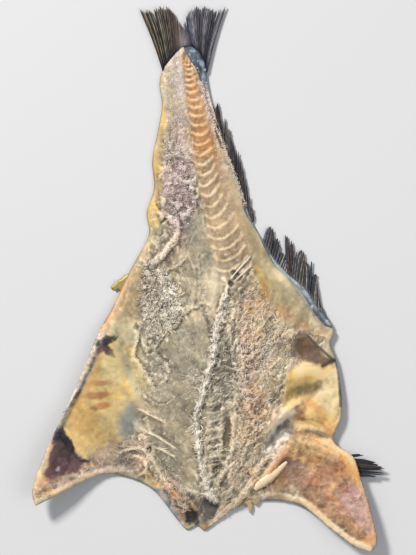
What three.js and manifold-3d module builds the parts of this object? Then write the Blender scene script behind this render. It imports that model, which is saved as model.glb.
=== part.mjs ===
// A whole salted dried cod: headless, split from throat to vent, opened like a book and dried flat.
// It lies skin side down. X runs across the fish, Y from the nape to the tail and Z up, out of the flesh.
// The origin is at the centre of its box, on the surface that it rests on. All sizes are in millimetres.
import * as THREE from 'three';
import { mergeVertices } from 'three/addons/utils/BufferGeometryUtils.js';
import Module from 'manifold-3d';

const wasm = await Module();
wasm.setup();

// Half of the length, from tail to right collar tip, and of the width, from left collar to pectoral fin.
const HALF_LENGTH = 342;
const HALF_WIDTH = 221;

// How far the belly flaps curl up off the surface, from which to which distance beside the back.
const LEFT_CURL = { height: 17, from: 95, to: 225 };
const RIGHT_CURL = { height: 13, from: 95, to: 215 };
// The collar tips rise more: centre, radius and height.
const COLLAR_TIPS = [{ x: 205, y: -335, radius: 75, height: 9 }, { x: -218, y: -275, radius: 60, height: 9 }];
// A shallow hollow under the back, where the folded fins lie: between which places along the fish it fades.
// Beside it the skin rests flat, where the hollow's bell is under a small share of its height.
const BACK_HOLLOW = { height: 2.6, halfWidth: 34, offset: 10, napeEnd: [-290, -240], tailEnd: [262, 225] };
const FLAT_UNDER = 0.02;

// Thickness of the dried edge and the belly flap, the least of any place, and the width of the rounded rim.
const RIM_THICKNESS = 2.4;
const LEAST_THICKNESS = 3;
const FLAP_THICKNESS = 5.5;
const RIM_ROUNDING = 13;

// Steps of the body's grid across and along the fish.
const STEPS_ACROSS = 28;
const STEPS_ALONG = 56;

// The body's edges, each from its tail end or left end: [x, y].
const LEFT_EDGE = [
  [-59, 266], [-64, 243], [-61, 215], [-66, 184], [-73, 147], [-71, 112], [-80, 81], [-78, 52],
  [-101, 8], [-123, -38], [-141, -71], [-173, -148], [-205, -216], [-HALF_WIDTH, -262], [-218, -284],
];
const RIGHT_EDGE = [
  [-5, 268], [-4, 244], [0, 220], [12, 184], [27, 146], [43, 101], [54, 68], [72, 37],
  [97, 3], [118, -20], [136, -47], [154, -66], [150, -83], [158, -108], [164, -150], [163, -176],
  [154, -204], [178, -224], [188, -252], [200, -292], [207, -328], [200, -HALF_LENGTH],
];
const TAIL_END = [[-59, 266], [-35, 292], [-5, 268]];
const NAPE_EDGE = [
  [-218, -284], [-185, -268], [-140, -247], [-105, -250], [-72, -266], [-43, -302], [-30, -316], [-17, -311],
  [-7, -317], [10, -304], [31, -289], [68, -280], [112, -285], [152, -315], [178, -334], [200, -HALF_LENGTH],
];

// The back's middle line, which is also the middle of the flesh: [y, x].
const BACK_LINE = [
  [290, -35], [215, -27], [159, -19], [88, -9], [30, 2],
  [-20, 12], [-90, 4], [-150, -5], [-215, -9], [-317, -7],
];
// The fillets' thickness and half width along the fish: [y, size], and how square their section is.
const FILLET_THICKNESS = [
  [290, 5], [262, 7], [200, 9.5], [120, 12.5], [40, 16], [-40, 20],
  [-120, 24], [-200, 22], [-250, 17], [-278, 13], [-292, 5], [-317, 4],
];
const FILLET_HALF_WIDTH = [[290, 30], [200, 38], [100, 50], [0, 66], [-100, 84], [-200, 82], [-317, 52]];
const FILLET_SQUARENESS = 2.6;

// Broad forms of the upper face: [x, y, radius across, radius along, turn in degrees, height]. A form that is
// turned by a positive angle leans to the right at its tail end.
const BROAD_FORMS = [
  [15, -150, 13, 95, 4, -5], // groove between the fillets
  [-75, -120, 46, 95, 10, -3], // belly cavity, scooped out
  [-128, -70, 14, 56, 25, 3], // roll along the left flap
  [-112, -196, 34, 26, 0, -2.5], // sunken spot of the left flap
  [86, -196, 10, 24, 45, -6], // valley at the root of the right collar
  [92, -170, 8, 30, 47, 5], // roll beside that valley
  [118, -116, 28, 13, -18, 6], // lump of the right flap
  [124, -140, 24, 9, -15, -4], // dent under the lump
  [122, -166, 30, 12, -8, 3.5], // second lump
  [122, -196, 34, 7, 10, -4], // crease above the right collar
  [147, -214, 40, 11, 28, 5], // shoulder of the right collar
  [158, -280, 22, 50, -40, 4], // swelling of the right collar
  [-182, -225, 14, 30, 22, -2.5], // dent of the left collar
  [-100, -225, 20, 9, -20, -4], // pocket beside the left collar
];

// The tailbone left in the flesh: ridged arcs whose spacing grows away from the tail, up to a vertebra's length.
const VERTEBRAE = { count: 24, startY: 267, firstSpacing: 5.5, spacingGrowth: 0.7, mostSpacing: 13 };
const VERTEBRA_LEFT_X = [[272, -33], [236, -29], [206, -26], [157, -20], [116, -13], [57, -2], [0, 7]];
const VERTEBRA_RIGHT_X = [
  [268, -25], [242, -19], [218, -12], [188, -4], [166, 0], [140, 5], [116, 11], [90, 22], [60, 38], [24, 47],
];
// Each arc sags in the middle by a share of its width, and towards the vent its right end sweeps up as a rib.
const ARC = { sag: 0.1, rise: 14, riseFrom: 205, riseTo: 90, radiusShare: 0.24, radii: [1.4, 3], lift: 0.6 };

// Cords of sinew, bone and folded skin that stand up from the flesh, with their radius and lift over it.
const RAISED_LINES = [
  {
    name: 'middle crest',
    points: [
      [21, -7], [17, -30], [9, -62], [3, -96], [-8, -140], [-17, -177], [-13, -222], [-5, -262], [6, -280],
    ],
    radius: 4,
    lift: 1.4,
  },
  {
    name: 'right crest',
    points: [[44, -50], [40, -85], [44, -126], [52, -172], [56, -196], [42, -222], [25, -252]],
    radius: 3.2,
    lift: 0.8,
  },
  {
    name: 'curled rim of the left flap',
    points: [[-133, -64], [-146, -92], [-160, -122], [-176, -156], [-190, -186], [-203, -216]],
    radius: 3.4,
    lift: 1.4,
  },
  {
    name: 'left collarbone',
    points: [[-214, -280], [-188, -265], [-160, -252], [-132, -242], [-104, -240]],
    radius: 4.2,
    lift: 0.6,
  },
  {
    name: 'right collarbone',
    points: [[70, -272], [96, -276], [120, -282], [150, -309], [176, -328], [196, -337]],
    radius: 4.6,
    lift: 0.8,
  },
  {
    name: 'left throat cord',
    points: [[-68, -240], [-52, -262], [-34, -284], [-24, -300]],
    radius: 3.6,
    lift: 0.4,
  },
  {
    name: 'right throat cord',
    points: [[18, -298], [34, -280], [50, -262], [62, -236], [88, -214]],
    radius: 4,
    lift: 0.6,
  },
  { name: 'cut bone end', points: [[60, -258], [72, -244], [84, -226]], radius: 6, lift: 1.5 },
  {
    name: 'folded edge of the belly lining',
    points: [[-59, 81], [-46, 74], [-41, 62], [-47, 42], [-60, 26], [-74, 10]],
    radius: 3.6,
    lift: 0.6,
  },
];
// Edges of torn belly lining, the rib ends beside them, and two long bone splinters.
const THIN_LINES = [
  { name: 'tear', points: [[-76, -54], [-66, -84], [-50, -112]], radius: 2.2, lift: 0.4 },
  { name: 'tear', points: [[-52, -24], [-28, -34], [-8, -30], [8, -18]], radius: 2.2, lift: 0.2 },
  { name: 'tear', points: [[-72, -97], [-60, -116], [-48, -130]], radius: 2.2, lift: 0.4 },
  { name: 'rib', points: [[-89, -165], [-74, -171], [-58, -180]], radius: 2, lift: 0.8 },
  { name: 'rib', points: [[-80, -193], [-65, -200], [-50, -209]], radius: 2, lift: 0.8 },
  { name: 'rib', points: [[-68, -213], [-57, -217], [-45, -224]], radius: 2, lift: 0.8 },
  { name: 'splinter', points: [[28, -3], [38, 11], [50, 26]], radius: 1.8, lift: 1.6 },
  { name: 'splinter', points: [[31, -3], [41, 5], [51, 14]], radius: 1.6, lift: 1.6 },
];
// Lines are sunk by a share of their radius, and keep some skin under them.
const SUNK_SHARE = 0.55;
const LEAST_COVER = 0.8;
// How blunt a line's ends are, from 0, a point, to 0.5, as thick as its middle.
const END_BLUNTNESS = 0.12;

// The dark hollow beside the middle crest.
const HOLLOW = { x: 18, y: -212, halfWidth: 8, halfLength: 38, depth: 8, turn: 6 };
// Rags of fat that hang over the left edge and the nape, as outlines, with the height of their underside.
const RAGS = [
  { outline: [[-104, 6], [-114, -3], [-125, -12], [-118, -19], [-106, -12]], z: 1.5 },
  { outline: [[30, -276], [40, -290], [50, -289], [58, -283], [60, -270]], z: 2 },
];
const RAG_THICKNESS = 4;

// The fins: their line of roots, and a tip for each of their main rays: [x, y]. The heights of the lower and
// upper face are given at the roots and at the tips.
const TAIL_FIN = {
  roots: [[-60, 258], [-37, 280], [-4, 256]],
  tips: [
    [-92, 340], [-82, 337], [-71, 338], [-57, HALF_LENGTH], [-47, 333], [-40, 321], [-36, 313],
    [-33, 321], [-28, 334], [-16, HALF_LENGTH], [-4, 340], [10, 338], [21, HALF_LENGTH],
  ],
  rays: 25,
  rootZ: [2, 7],
  tipZ: [3, 5.4],
  bend: 4,
};
const REAR_ANAL_FIN = {
  roots: [[0, 204], [18, 158], [38, 104], [52, 68]],
  tips: [
    [3, 214], [7, 215], [10, 221], [14, 196], [20, 201], [28, 172],
    [33, 162], [37, 154], [41, 137], [46, 116], [57, 71],
  ],
  rays: 11,
  rootZ: [2.4, 5],
  tipZ: [2.2, 3.6],
};
const FRONT_ANAL_SPIKE = {
  roots: [[66, 44], [82, 20], [97, 4]],
  tips: [[72, 71], [82, 55], [93, 31], [99, 15]],
  rays: 7,
  rootZ: [2.6, 5.4],
  tipZ: [2.6, 3.8],
};
const FRONT_ANAL_FIN = {
  roots: [[98, 3], [110, -14], [128, -40], [146, -63]],
  tips: [
    [91, 61], [102, 48], [108, 34], [111, 41], [118, 31], [119, 20],
    [124, 29], [132, 13], [134, -4], [137, -25], [142, -39], [149, -54],
  ],
  rays: 12,
  rootZ: [2.6, 5.4],
  tipZ: [2.4, 3.8],
};
// The right pectoral fin lies flat against the skin as far as the body's edge, and is free beyond it.
const PECTORAL_FIN = {
  roots: [[150, -226], [148, -236], [150, -247]],
  tips: [[186, -219], [199, -226], [219, -239], [212, -242], [HALF_WIDTH, -246], [208, -250], [190, -250]],
  rays: 7,
  rows: 2,
  skinZ: [-1.6, 0.6],
  freeZ: [8.2, 10.2],
  freeFrom: 168,
  freeTo: 190,
};
// Fins folded against the skin, seen from below only.
const LEFT_PECTORAL_FIN = {
  roots: [[-160, -244], [-146, -238], [-134, -226]],
  tips: [[-158, -196], [-146, -178], [-132, -172], [-120, -184]],
  rays: 8,
  rows: 2,
};
const DORSAL_FINS = [
  { from: 205, to: 118, reach: 22, sweep: 16 },
  { from: 92, to: -30, reach: 30, sweep: 22 },
  { from: -62, to: -150, reach: 36, sweep: 26 },
];
const FOLDED_FIN_THICKNESS = 1.3;
const LOWEST_FIN_Z = 0.2;
// Between two rays the web is thinner and ends short of their tips, by these shares, and its edge is ragged.
const WEB_THINNING = 0.24;
const WEB_REACH = 0.93;
const WEB_RAGGEDNESS = 0.03;

// Edges shorter than this are merged after the pieces are joined.
const SIMPLIFY_BELOW = 0.12;

const clamp = (x, low, high) => Math.min(high, Math.max(low, x));
const smooth = (from, to, x) => THREE.MathUtils.smoothstep((x - from) / (to - from), 0, 1);
const bell = (x) => Math.exp(-x * x);

// The value at y of a table of [y, value] rows that runs down in y.
function along(rows, y) {
  const next = rows.findIndex(([rowY]) => rowY <= y);
  if (next === 0) return rows[0][1];
  if (next < 0) return rows[rows.length - 1][1];
  const [[highY, high], [lowY, low]] = [rows[next - 1], rows[next]];
  return low + ((high - low) * (y - lowY)) / (highY - lowY);
}

const spline = (points) => new THREE.SplineCurve(points.map(([x, y]) => new THREE.Vector2(x, y)));
const edges = {
  left: spline(LEFT_EDGE),
  right: spline(RIGHT_EDGE),
  tail: spline(TAIL_END),
  nape: spline(NAPE_EDGE),
};
const outline = Object.values(edges).flatMap((edge) => edge.getSpacedPoints(160));
const edgeDistance = (p) => Math.min(...outline.map((q) => q.distanceTo(p)));

// A point of the body's plan between its four edges, with u from left to right and v from tail to nape.
function planPoint(u, v) {
  const across = edges.tail.getPointAt(u).multiplyScalar(1 - v).addScaledVector(edges.nape.getPointAt(u), v);
  const down = edges.left.getPointAt(v).multiplyScalar(1 - u).addScaledVector(edges.right.getPointAt(v), u);
  const corners = new THREE.Vector2()
    .addScaledVector(edges.tail.getPointAt(0), (1 - u) * (1 - v))
    .addScaledVector(edges.tail.getPointAt(1), u * (1 - v))
    .addScaledVector(edges.nape.getPointAt(0), (1 - u) * v)
    .addScaledVector(edges.nape.getPointAt(1), u * v);
  const p = across.add(down).sub(corners);
  return new THREE.Vector2(clamp(p.x, -HALF_WIDTH, HALF_WIDTH), clamp(p.y, -HALF_LENGTH, HALF_LENGTH));
}

// Height of the skin over the surface that the fish lies on.
function undersideZ(x, y) {
  const side = x - along(BACK_LINE, y);
  const curl = side < 0 ? LEFT_CURL : RIGHT_CURL;
  const flap = curl.height * smooth(curl.from, curl.to, Math.abs(side));
  const tips = COLLAR_TIPS.map((tip) => tip.height * bell(Math.hypot(x - tip.x, y - tip.y) / tip.radius));
  const { height, halfWidth, offset, napeEnd, tailEnd } = BACK_HOLLOW;
  const arch = Math.max(bell((side - offset) / halfWidth) - FLAT_UNDER, 0);
  const hollow = height * arch * smooth(...napeEnd, y) * smooth(...tailEnd, y);
  return flap + tips[0] + tips[1] + hollow;
}

// Height of the broad forms at a point.
function broadForms(x, y) {
  return BROAD_FORMS.reduce((sum, [cx, cy, across, lengthways, turn, height]) => {
    const centre = new THREE.Vector2();
    const offset = new THREE.Vector2(x - cx, y - cy).rotateAround(centre, THREE.MathUtils.degToRad(turn));
    return sum + height * bell(Math.hypot(offset.x / across, offset.y / lengthways));
  }, 0);
}

// Thickness of flesh and skin at a point that lies a given distance in from the edge.
function thickness(x, y, fromEdge) {
  const side = Math.abs(x - along(BACK_LINE, y));
  const fillet = along(FILLET_THICKNESS, y);
  const flap = Math.min(FLAP_THICKNESS, fillet);
  const share = Math.exp(-Math.pow(side / along(FILLET_HALF_WIDTH, y), FILLET_SQUARENESS));
  const full = Math.max(flap + (fillet - flap) * share + broadForms(x, y), LEAST_THICKNESS);
  const inward = 1 - clamp(fromEdge / RIM_ROUNDING, 0, 1);
  return RIM_THICKNESS + (full - RIM_THICKNESS) * Math.sqrt(1 - inward * inward);
}

const fleshZ = (x, y) => undersideZ(x, y) + thickness(x, y, edgeDistance(new THREE.Vector2(x, y)));

function geometryOf(positions, triangles) {
  return new THREE.BufferGeometry()
    .setAttribute('position', new THREE.Float32BufferAttribute(positions, 3))
    .setIndex(triangles);
}

// A closed sheet from two grids of points, over and under. Grid sizes are even, and the underside
// is coarser where wanted: each block of two by two cells is a fan round its middle point.
function closedSheet(columns, rows, over, under, coarseUnder = false) {
  const positions = [];
  const triangles = [];
  const at = (i, j, layer) => (j * (columns + 1) + i) * 2 + layer;
  const quad = (a, b, c, d) => triangles.push(a, b, c, a, c, d);
  for (let j = 0; j <= rows; j++) {
    for (let i = 0; i <= columns; i++) positions.push(...over(i, j), ...under(i, j));
  }
  for (let j = 0; j < rows; j++) {
    for (let i = 0; i < columns; i++) {
      quad(at(i, j, 0), at(i, j + 1, 0), at(i + 1, j + 1, 0), at(i + 1, j, 0));
      if (!coarseUnder) quad(at(i, j, 1), at(i + 1, j, 1), at(i + 1, j + 1, 1), at(i, j + 1, 1));
    }
  }
  for (let j = 0; coarseUnder && j < rows; j += 2) {
    for (let i = 0; i < columns; i += 2) {
      const ring = [at(i, j, 1)];
      if (j === 0) ring.push(at(i + 1, j, 1));
      ring.push(at(i + 2, j, 1));
      if (i + 2 === columns) ring.push(at(i + 2, j + 1, 1));
      ring.push(at(i + 2, j + 2, 1));
      if (j + 2 === rows) ring.push(at(i + 1, j + 2, 1));
      ring.push(at(i, j + 2, 1));
      if (i === 0) ring.push(at(i, j + 1, 1));
      ring.forEach((corner, k) => triangles.push(at(i + 1, j + 1, 1), corner, ring[(k + 1) % ring.length]));
    }
  }
  for (let i = 0; i < columns; i++) {
    quad(at(i, 0, 0), at(i + 1, 0, 0), at(i + 1, 0, 1), at(i, 0, 1));
    quad(at(i + 1, rows, 0), at(i, rows, 0), at(i, rows, 1), at(i + 1, rows, 1));
  }
  for (let j = 0; j < rows; j++) {
    quad(at(0, j + 1, 0), at(0, j, 0), at(0, j, 1), at(0, j + 1, 1));
    quad(at(columns, j, 0), at(columns, j + 1, 0), at(columns, j + 1, 1), at(columns, j, 1));
  }
  return geometryOf(positions, triangles);
}

function body() {
  const isEdge = (i, j) => i === 0 || j === 0 || i === STEPS_ACROSS || j === STEPS_ALONG;
  const cell = (i, j) => planPoint(i / STEPS_ACROSS, j / STEPS_ALONG);
  const over = (i, j) => {
    const p = cell(i, j);
    return [p.x, p.y, undersideZ(p.x, p.y) + thickness(p.x, p.y, isEdge(i, j) ? 0 : edgeDistance(p))];
  };
  const under = (i, j) => {
    const p = cell(i, j);
    return [p.x, p.y, undersideZ(p.x, p.y)];
  };
  return closedSheet(STEPS_ACROSS, STEPS_ALONG, over, under, true);
}

// A round bar that tapers to its ends, half sunk in the flesh along a line.
function raisedLine({ points, radius, lift }, segments, sides) {
  const curve = spline(points);
  const positions = [];
  const triangles = [];
  for (let k = 0; k <= segments; k++) {
    const t = k / segments;
    const p = curve.getPointAt(t);
    const direction = curve.getTangentAt(t);
    const taper = Math.sqrt(Math.sin(Math.PI * (END_BLUNTNESS + (1 - 2 * END_BLUNTNESS) * t)));
    const z = fleshZ(p.x, p.y) - radius * SUNK_SHARE + lift;
    for (let s = 0; s < sides; s++) {
      const angle = (2 * Math.PI * s) / sides;
      const out = radius * taper * Math.cos(angle);
      const height = z + radius * taper * Math.sin(angle);
      const lowest = undersideZ(p.x, p.y) + LEAST_COVER;
      positions.push(p.x - direction.y * out, p.y + direction.x * out, Math.max(height, lowest));
    }
  }
  const ring = (k, s) => k * sides + (s % sides);
  for (let k = 0; k < segments; k++) {
    for (let s = 0; s < sides; s++) {
      triangles.push(ring(k, s), ring(k, s + 1), ring(k + 1, s + 1));
      triangles.push(ring(k, s), ring(k + 1, s + 1), ring(k + 1, s));
    }
  }
  for (let s = 1; s < sides - 1; s++) {
    triangles.push(ring(0, 0), ring(0, s + 1), ring(0, s));
    triangles.push(ring(segments, 0), ring(segments, s), ring(segments, s + 1));
  }
  return geometryOf(positions, triangles);
}

function vertebrae() {
  const made = [];
  let y = VERTEBRAE.startY;
  for (let k = 0; k < VERTEBRAE.count; k++) {
    const spacing = Math.min(VERTEBRAE.firstSpacing + VERTEBRAE.spacingGrowth * k, VERTEBRAE.mostSpacing);
    const rise = 1 + ARC.rise * smooth(ARC.riseFrom, ARC.riseTo, y);
    const leftX = along(VERTEBRA_LEFT_X, y);
    const rightX = along(VERTEBRA_RIGHT_X, y + rise);
    const width = rightX - leftX;
    const points = [
      [leftX, y],
      [leftX + width / 3, y - ARC.sag * width],
      [rightX - width / 3, y + rise * 0.36 - ARC.sag * width * 0.6],
      [rightX, y + rise],
    ];
    const radius = clamp(spacing * ARC.radiusShare, ...ARC.radii);
    made.push(raisedLine({ points, radius, lift: ARC.lift }, 4, 4));
    y -= spacing;
  }
  return made;
}

// A fin: a ridge along each ray, and a thin web between them. Heights follow zAt where it is given.
function fin({ roots, tips, rays, rows = 3, rootZ, tipZ, bend = 0 }, zAt = null) {
  const rootLine = spline(roots);
  const tipPoints = tips.map(([x, y]) => new THREE.Vector3(x, y, 0));
  const tipLine = new THREE.CatmullRomCurve3(tipPoints, false, 'chordal');
  const columns = 2 * (rays - 1);
  const level = (i, j, layer) => {
    const u = i / columns;
    const v = j / rows;
    const isRay = i % 2 === 0;
    const root = rootLine.getPoint(u);
    const tip = tipLine.getPoint(u);
    const reach = isRay ? v : v * (WEB_REACH + WEB_RAGGEDNESS * Math.sin(i * 2.3));
    const bow = bend * Math.sin(Math.PI * v) * (u - 0.5);
    const x = Math.min(root.x + (tip.x - root.x) * reach - bow, HALF_WIDTH);
    const y = Math.min(root.y + (tip.y - root.y) * reach, HALF_LENGTH);
    const [low, high] = zAt ? zAt(x, y, v) : [0, 1].map((k) => rootZ[k] + (tipZ[k] - rootZ[k]) * v);
    const thinner = isRay ? 0 : WEB_THINNING * (high - low);
    return [x, y, layer ? low + thinner / 2 : high - thinner];
  };
  return closedSheet(columns, rows, (i, j) => level(i, j, 0), (i, j) => level(i, j, 1));
}

// A fin folded flat against the skin, its upper face inside the flesh.
function foldedFin(shape) {
  const zAt = (x, y, v) => {
    const skin = undersideZ(x, y);
    return [Math.max(LOWEST_FIN_Z, skin - FOLDED_FIN_THICKNESS * (1 - 0.4 * v)), skin + 1];
  };
  return fin(shape, zAt);
}

function pectoralFin() {
  const { skinZ, freeZ, freeFrom, freeTo } = PECTORAL_FIN;
  const zAt = (x, y) => {
    const skin = undersideZ(Math.min(x, freeFrom), y);
    const free = smooth(freeFrom, freeTo, x);
    return [0, 1].map((k) => THREE.MathUtils.lerp(skin + skinZ[k], freeZ[k], free));
  };
  return fin(PECTORAL_FIN, zAt);
}

// A fin of the back, folded to the right of the back's middle line.
function dorsalFin({ from, to, reach, sweep }) {
  const backX = (y) => along(BACK_LINE, y);
  const roots = [from, (from + to) / 2, to].map((y) => [backX(y), y]);
  const tips = [0, 0.3, 0.6, 1].map((t) => {
    const y = from + (to - from) * t;
    return [backX(y) + reach * (0.45 + 0.55 * Math.sqrt(t)), y + sweep * (0.6 + 0.4 * t)];
  });
  return foldedFin({ roots, tips, rays: 8, rows: 2 });
}

function hollow() {
  const { x, y, halfWidth, halfLength, depth, turn } = HOLLOW;
  return new THREE.SphereGeometry(1, 12, 8)
    .scale(halfWidth, halfLength, depth)
    .rotateZ(THREE.MathUtils.degToRad(turn))
    .translate(x, y, fleshZ(x, y));
}

function rag({ outline: corners, z }) {
  const shape = new THREE.Shape(corners.map(([x, y]) => new THREE.Vector2(x, y)));
  return new THREE.ExtrudeGeometry(shape, { depth: RAG_THICKNESS, bevelEnabled: false }).translate(0, 0, z);
}

// A geometry as a solid, with its shared vertices merged and its faces turned out.
function solidOf(geometry) {
  const bare = geometry.clone();
  bare.deleteAttribute('normal');
  bare.deleteAttribute('uv');
  const merged = mergeVertices(bare, 1e-4);
  const vertProperties = new Float32Array(merged.attributes.position.array);
  const triVerts = new Uint32Array(merged.index.array);
  const made = new wasm.Manifold(new wasm.Mesh({ numProp: 3, vertProperties, triVerts }));
  if (made.volume() > 0) return made;
  for (let k = 0; k < triVerts.length; k += 3) {
    [triVerts[k + 1], triVerts[k + 2]] = [triVerts[k + 2], triVerts[k + 1]];
  }
  return new wasm.Manifold(new wasm.Mesh({ numProp: 3, vertProperties, triVerts }));
}

function splitCod() {
  const added = [
    ...vertebrae(),
    ...RAISED_LINES.map((line) => raisedLine(line, 10, 5)),
    ...THIN_LINES.map((line) => raisedLine(line, 5, 4)),
    ...RAGS.map(rag),
    ...[TAIL_FIN, REAR_ANAL_FIN, FRONT_ANAL_SPIKE, FRONT_ANAL_FIN].map((shape) => fin(shape)),
    pectoralFin(),
    foldedFin(LEFT_PECTORAL_FIN),
    ...DORSAL_FINS.map(dorsalFin),
  ];
  const joined = added.reduce((sum, piece) => sum.add(solidOf(piece)), solidOf(body()));
  const opened = joined.subtract(solidOf(hollow()));
  // Pockets that a fin seals against the skin are filled: only the whole fish's own body is kept.
  const [whole] = opened.decompose().sort((a, b) => b.volume() - a.volume());
  const mesh = whole.simplify(SIMPLIFY_BELOW).getMesh();
  const geometry = geometryOf(Array.from(mesh.vertProperties), Array.from(mesh.triVerts));
  geometry.computeVertexNormals();
  return geometry;
}

const driedFlesh = new THREE.MeshStandardMaterial({ color: 0xb7a684, roughness: 0.62, metalness: 0 });
const fish = new THREE.Mesh(splitCod(), driedFlesh);
fish.name = 'salted_cod';

const group = new THREE.Group();
group.add(fish);
export default group;
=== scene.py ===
import math

import bpy
import numpy as np
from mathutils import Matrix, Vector
from mathutils.geometry import delaunay_2d_cdt


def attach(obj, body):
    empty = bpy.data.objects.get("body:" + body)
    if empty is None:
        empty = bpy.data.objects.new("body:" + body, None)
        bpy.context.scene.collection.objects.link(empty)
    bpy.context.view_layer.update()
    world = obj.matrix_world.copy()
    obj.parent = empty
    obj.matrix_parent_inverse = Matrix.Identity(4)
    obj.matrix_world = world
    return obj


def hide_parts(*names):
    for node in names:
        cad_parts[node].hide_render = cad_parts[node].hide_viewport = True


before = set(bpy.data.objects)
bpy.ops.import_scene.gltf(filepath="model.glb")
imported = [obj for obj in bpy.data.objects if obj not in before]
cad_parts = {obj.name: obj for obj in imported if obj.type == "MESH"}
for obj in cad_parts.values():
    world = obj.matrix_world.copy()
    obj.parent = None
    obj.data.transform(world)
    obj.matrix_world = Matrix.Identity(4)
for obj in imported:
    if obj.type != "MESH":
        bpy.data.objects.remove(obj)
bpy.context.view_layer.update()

# All sizes below are in millimetres; meshes are scaled to metres when they are made.
METRES = 0.001
# Places read off the photograph are named pixel coordinates, turned to millimetres by these two values.
PHOTO_CENTRE = (210.5, 277.5)
MM_PER_PIXEL = 1.25
HALF_LENGTH = 342.0
HALF_WIDTH = 221.0

# The flaps' curl: where it starts, in mm from the line of the back, then its height and where it ends.
CURL_START = 95.0
LEFT_CURL = (17.0, 225.0)
RIGHT_CURL = (13.0, 215.0)
# Rise of the collars' tips: x, y, radius, height.
COLLAR_TIPS = [(205, -335, 75, 9), (-218, -275, 60, 9)]
# The shallow hollow under the back, which fades out towards the nape and the tail.
HOLLOW_HEIGHT = 2.6
HOLLOW_HALF_WIDTH = 34.0
HOLLOW_OFFSET = 10.0
HOLLOW_NAPE_END = (-290, -240)
HOLLOW_TAIL_END = (262, 225)
RIM_THICKNESS = 2.4
LEAST_THICKNESS = 3.0
FLAP_THICKNESS = 5.5
RIM_ROUNDING = 13.0
FILLET_SQUARENESS = 2.6
# Tables by place along the fish: y, value.
BACK_LINE = [
    (290, -35), (215, -27), (159, -19), (88, -9), (30, 2),
    (-20, 12), (-90, 4), (-150, -5), (-215, -9), (-317, -7),
]
FILLET_THICKNESS = [
    (290, 5), (262, 7), (200, 9.5), (120, 12.5), (40, 16), (-40, 20),
    (-120, 24), (-200, 22), (-250, 17), (-278, 13), (-292, 5), (-317, 4),
]
FILLET_HALF_WIDTH = [(290, 30), (200, 38), (100, 50), (0, 66), (-100, 84), (-200, 82), (-317, 52)]
# Broad forms: x, y, radius across, radius along, turn in degrees, height.
BROAD_FORMS = [
    (15, -150, 13, 95, 4, -5),
    (-75, -120, 46, 95, 10, -3),
    (-128, -70, 14, 56, 25, 3),
    (-112, -196, 34, 26, 0, -2.5),
    (86, -196, 10, 24, 45, -6),
    (92, -170, 8, 30, 47, 5),
    (118, -116, 28, 13, -18, 6),
    (124, -140, 24, 9, -15, -4),
    (122, -166, 30, 12, -8, 3.5),
    (122, -196, 34, 7, 10, -4),
    (147, -214, 40, 11, 28, 5),
    (158, -280, 22, 50, -40, 4),
    (-182, -225, 14, 30, 22, -2.5),
    (-100, -225, 20, 9, -20, -4),
]

LEFT_EDGE = [
    (-59, 266), (-64, 243), (-61, 215), (-66, 184), (-73, 147), (-71, 112), (-80, 81), (-78, 52),
    (-101, 8), (-123, -38), (-141, -71), (-173, -148), (-205, -216), (-221, -262), (-218, -284),
]
RIGHT_EDGE = [
    (-5, 268), (-4, 244), (0, 220), (12, 184), (27, 146), (43, 101), (54, 68), (72, 37),
    (97, 3), (118, -20), (136, -47), (154, -66), (150, -83), (158, -108), (164, -150), (163, -176),
    (154, -204), (178, -224), (188, -252), (200, -292), (207, -328), (200, -342),
]
TAIL_END = [(-59, 266), (-47, 280), (-35, 292), (-24, 292), (-13, 283), (-5, 268)]
NAPE_EDGE = [
    (-218, -284), (-185, -268), (-140, -247), (-105, -250), (-72, -266), (-43, -302), (-30, -316),
    (-17, -311), (-7, -317), (10, -304), (31, -289), (68, -280), (112, -285), (152, -315),
    (178, -334), (200, -342),
]
# Where the flesh ends short of the skin beside the fins, from the belly up to the tail's root.
FLESH_END = [
    (144, -61), (134, -50), (123, -33), (110, -12), (92, 4), (79, 17), (67, 39), (58, 58),
    (43, 82), (38, 106), (30, 131), (22, 150), (9, 172), (3, 195), (-6, 220), (-11, 242),
    (-16, 257), (-23, 269), (-30, 281), (-35, 292),
]


def unit_steps(start, end, value):
    """A smooth step of a value, from 0 at start to 1 at end."""
    t = np.clip((np.asarray(value, float) - start) / (end - start), 0, 1)
    return t * t * (3 - 2 * t)


def bell(value):
    """A bell curve: 1 at 0, and near 0 beyond 2 on both sides."""
    return np.exp(-np.square(value))


def turned(dx, dy, degrees):
    """An offset's two parts along axes that are turned clockwise."""
    angle = math.radians(degrees)
    return dx * math.cos(angle) - dy * math.sin(angle), dx * math.sin(angle) + dy * math.cos(angle)


def along(rows, y, softness=6.0):
    """The value at y of a table of (y, value) rows that runs down in y, smoothed along y."""
    ys = np.array([row[0] for row in rows][::-1], float)
    values = np.array([row[1] for row in rows][::-1], float)
    taps = ((-1.6, 0.2), (-0.7, 0.3), (0.7, 0.3), (1.6, 0.2))
    return sum(weight * np.interp(y + shift * softness, ys, values) for shift, weight in taps)


def to_mm(points):
    """Pixel places of the photograph as millimetres in the object's frame."""
    return [((px - PHOTO_CENTRE[0]) * MM_PER_PIXEL, (PHOTO_CENTRE[1] - py) * MM_PER_PIXEL)
            for px, py in points]


def from_oval(x, y, px, py, half_x, half_y, turn):
    """Distance from the middle of an oval given in pixels: 1 on its outline."""
    (cx, cy), = to_mm([(px, py)])
    u, v = turned(x - cx, y - cy, turn)
    return np.hypot(u / (half_x * MM_PER_PIXEL), v / (half_y * MM_PER_PIXEL))


def spline(points, per_segment=8):
    """A smooth curve through points."""
    p = np.array(points, float)
    p = np.vstack([2 * p[0] - p[1], p, 2 * p[-1] - p[-2]])
    made = []
    for k in range(1, len(p) - 2):
        for t in np.arange(per_segment) / per_segment:
            a, b, c, d = p[k - 1], p[k], p[k + 1], p[k + 2]
            made.append(0.5 * (2 * b + (c - a) * t + (2 * a - 5 * b + 4 * c - d) * t * t
                               + (3 * b - a - 3 * c + d) * t ** 3))
    made.append(p[-2])
    return np.array(made)


NOISE_SIZE = 256
NOISE_OFFSET = (91.7, 53.1)


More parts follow.
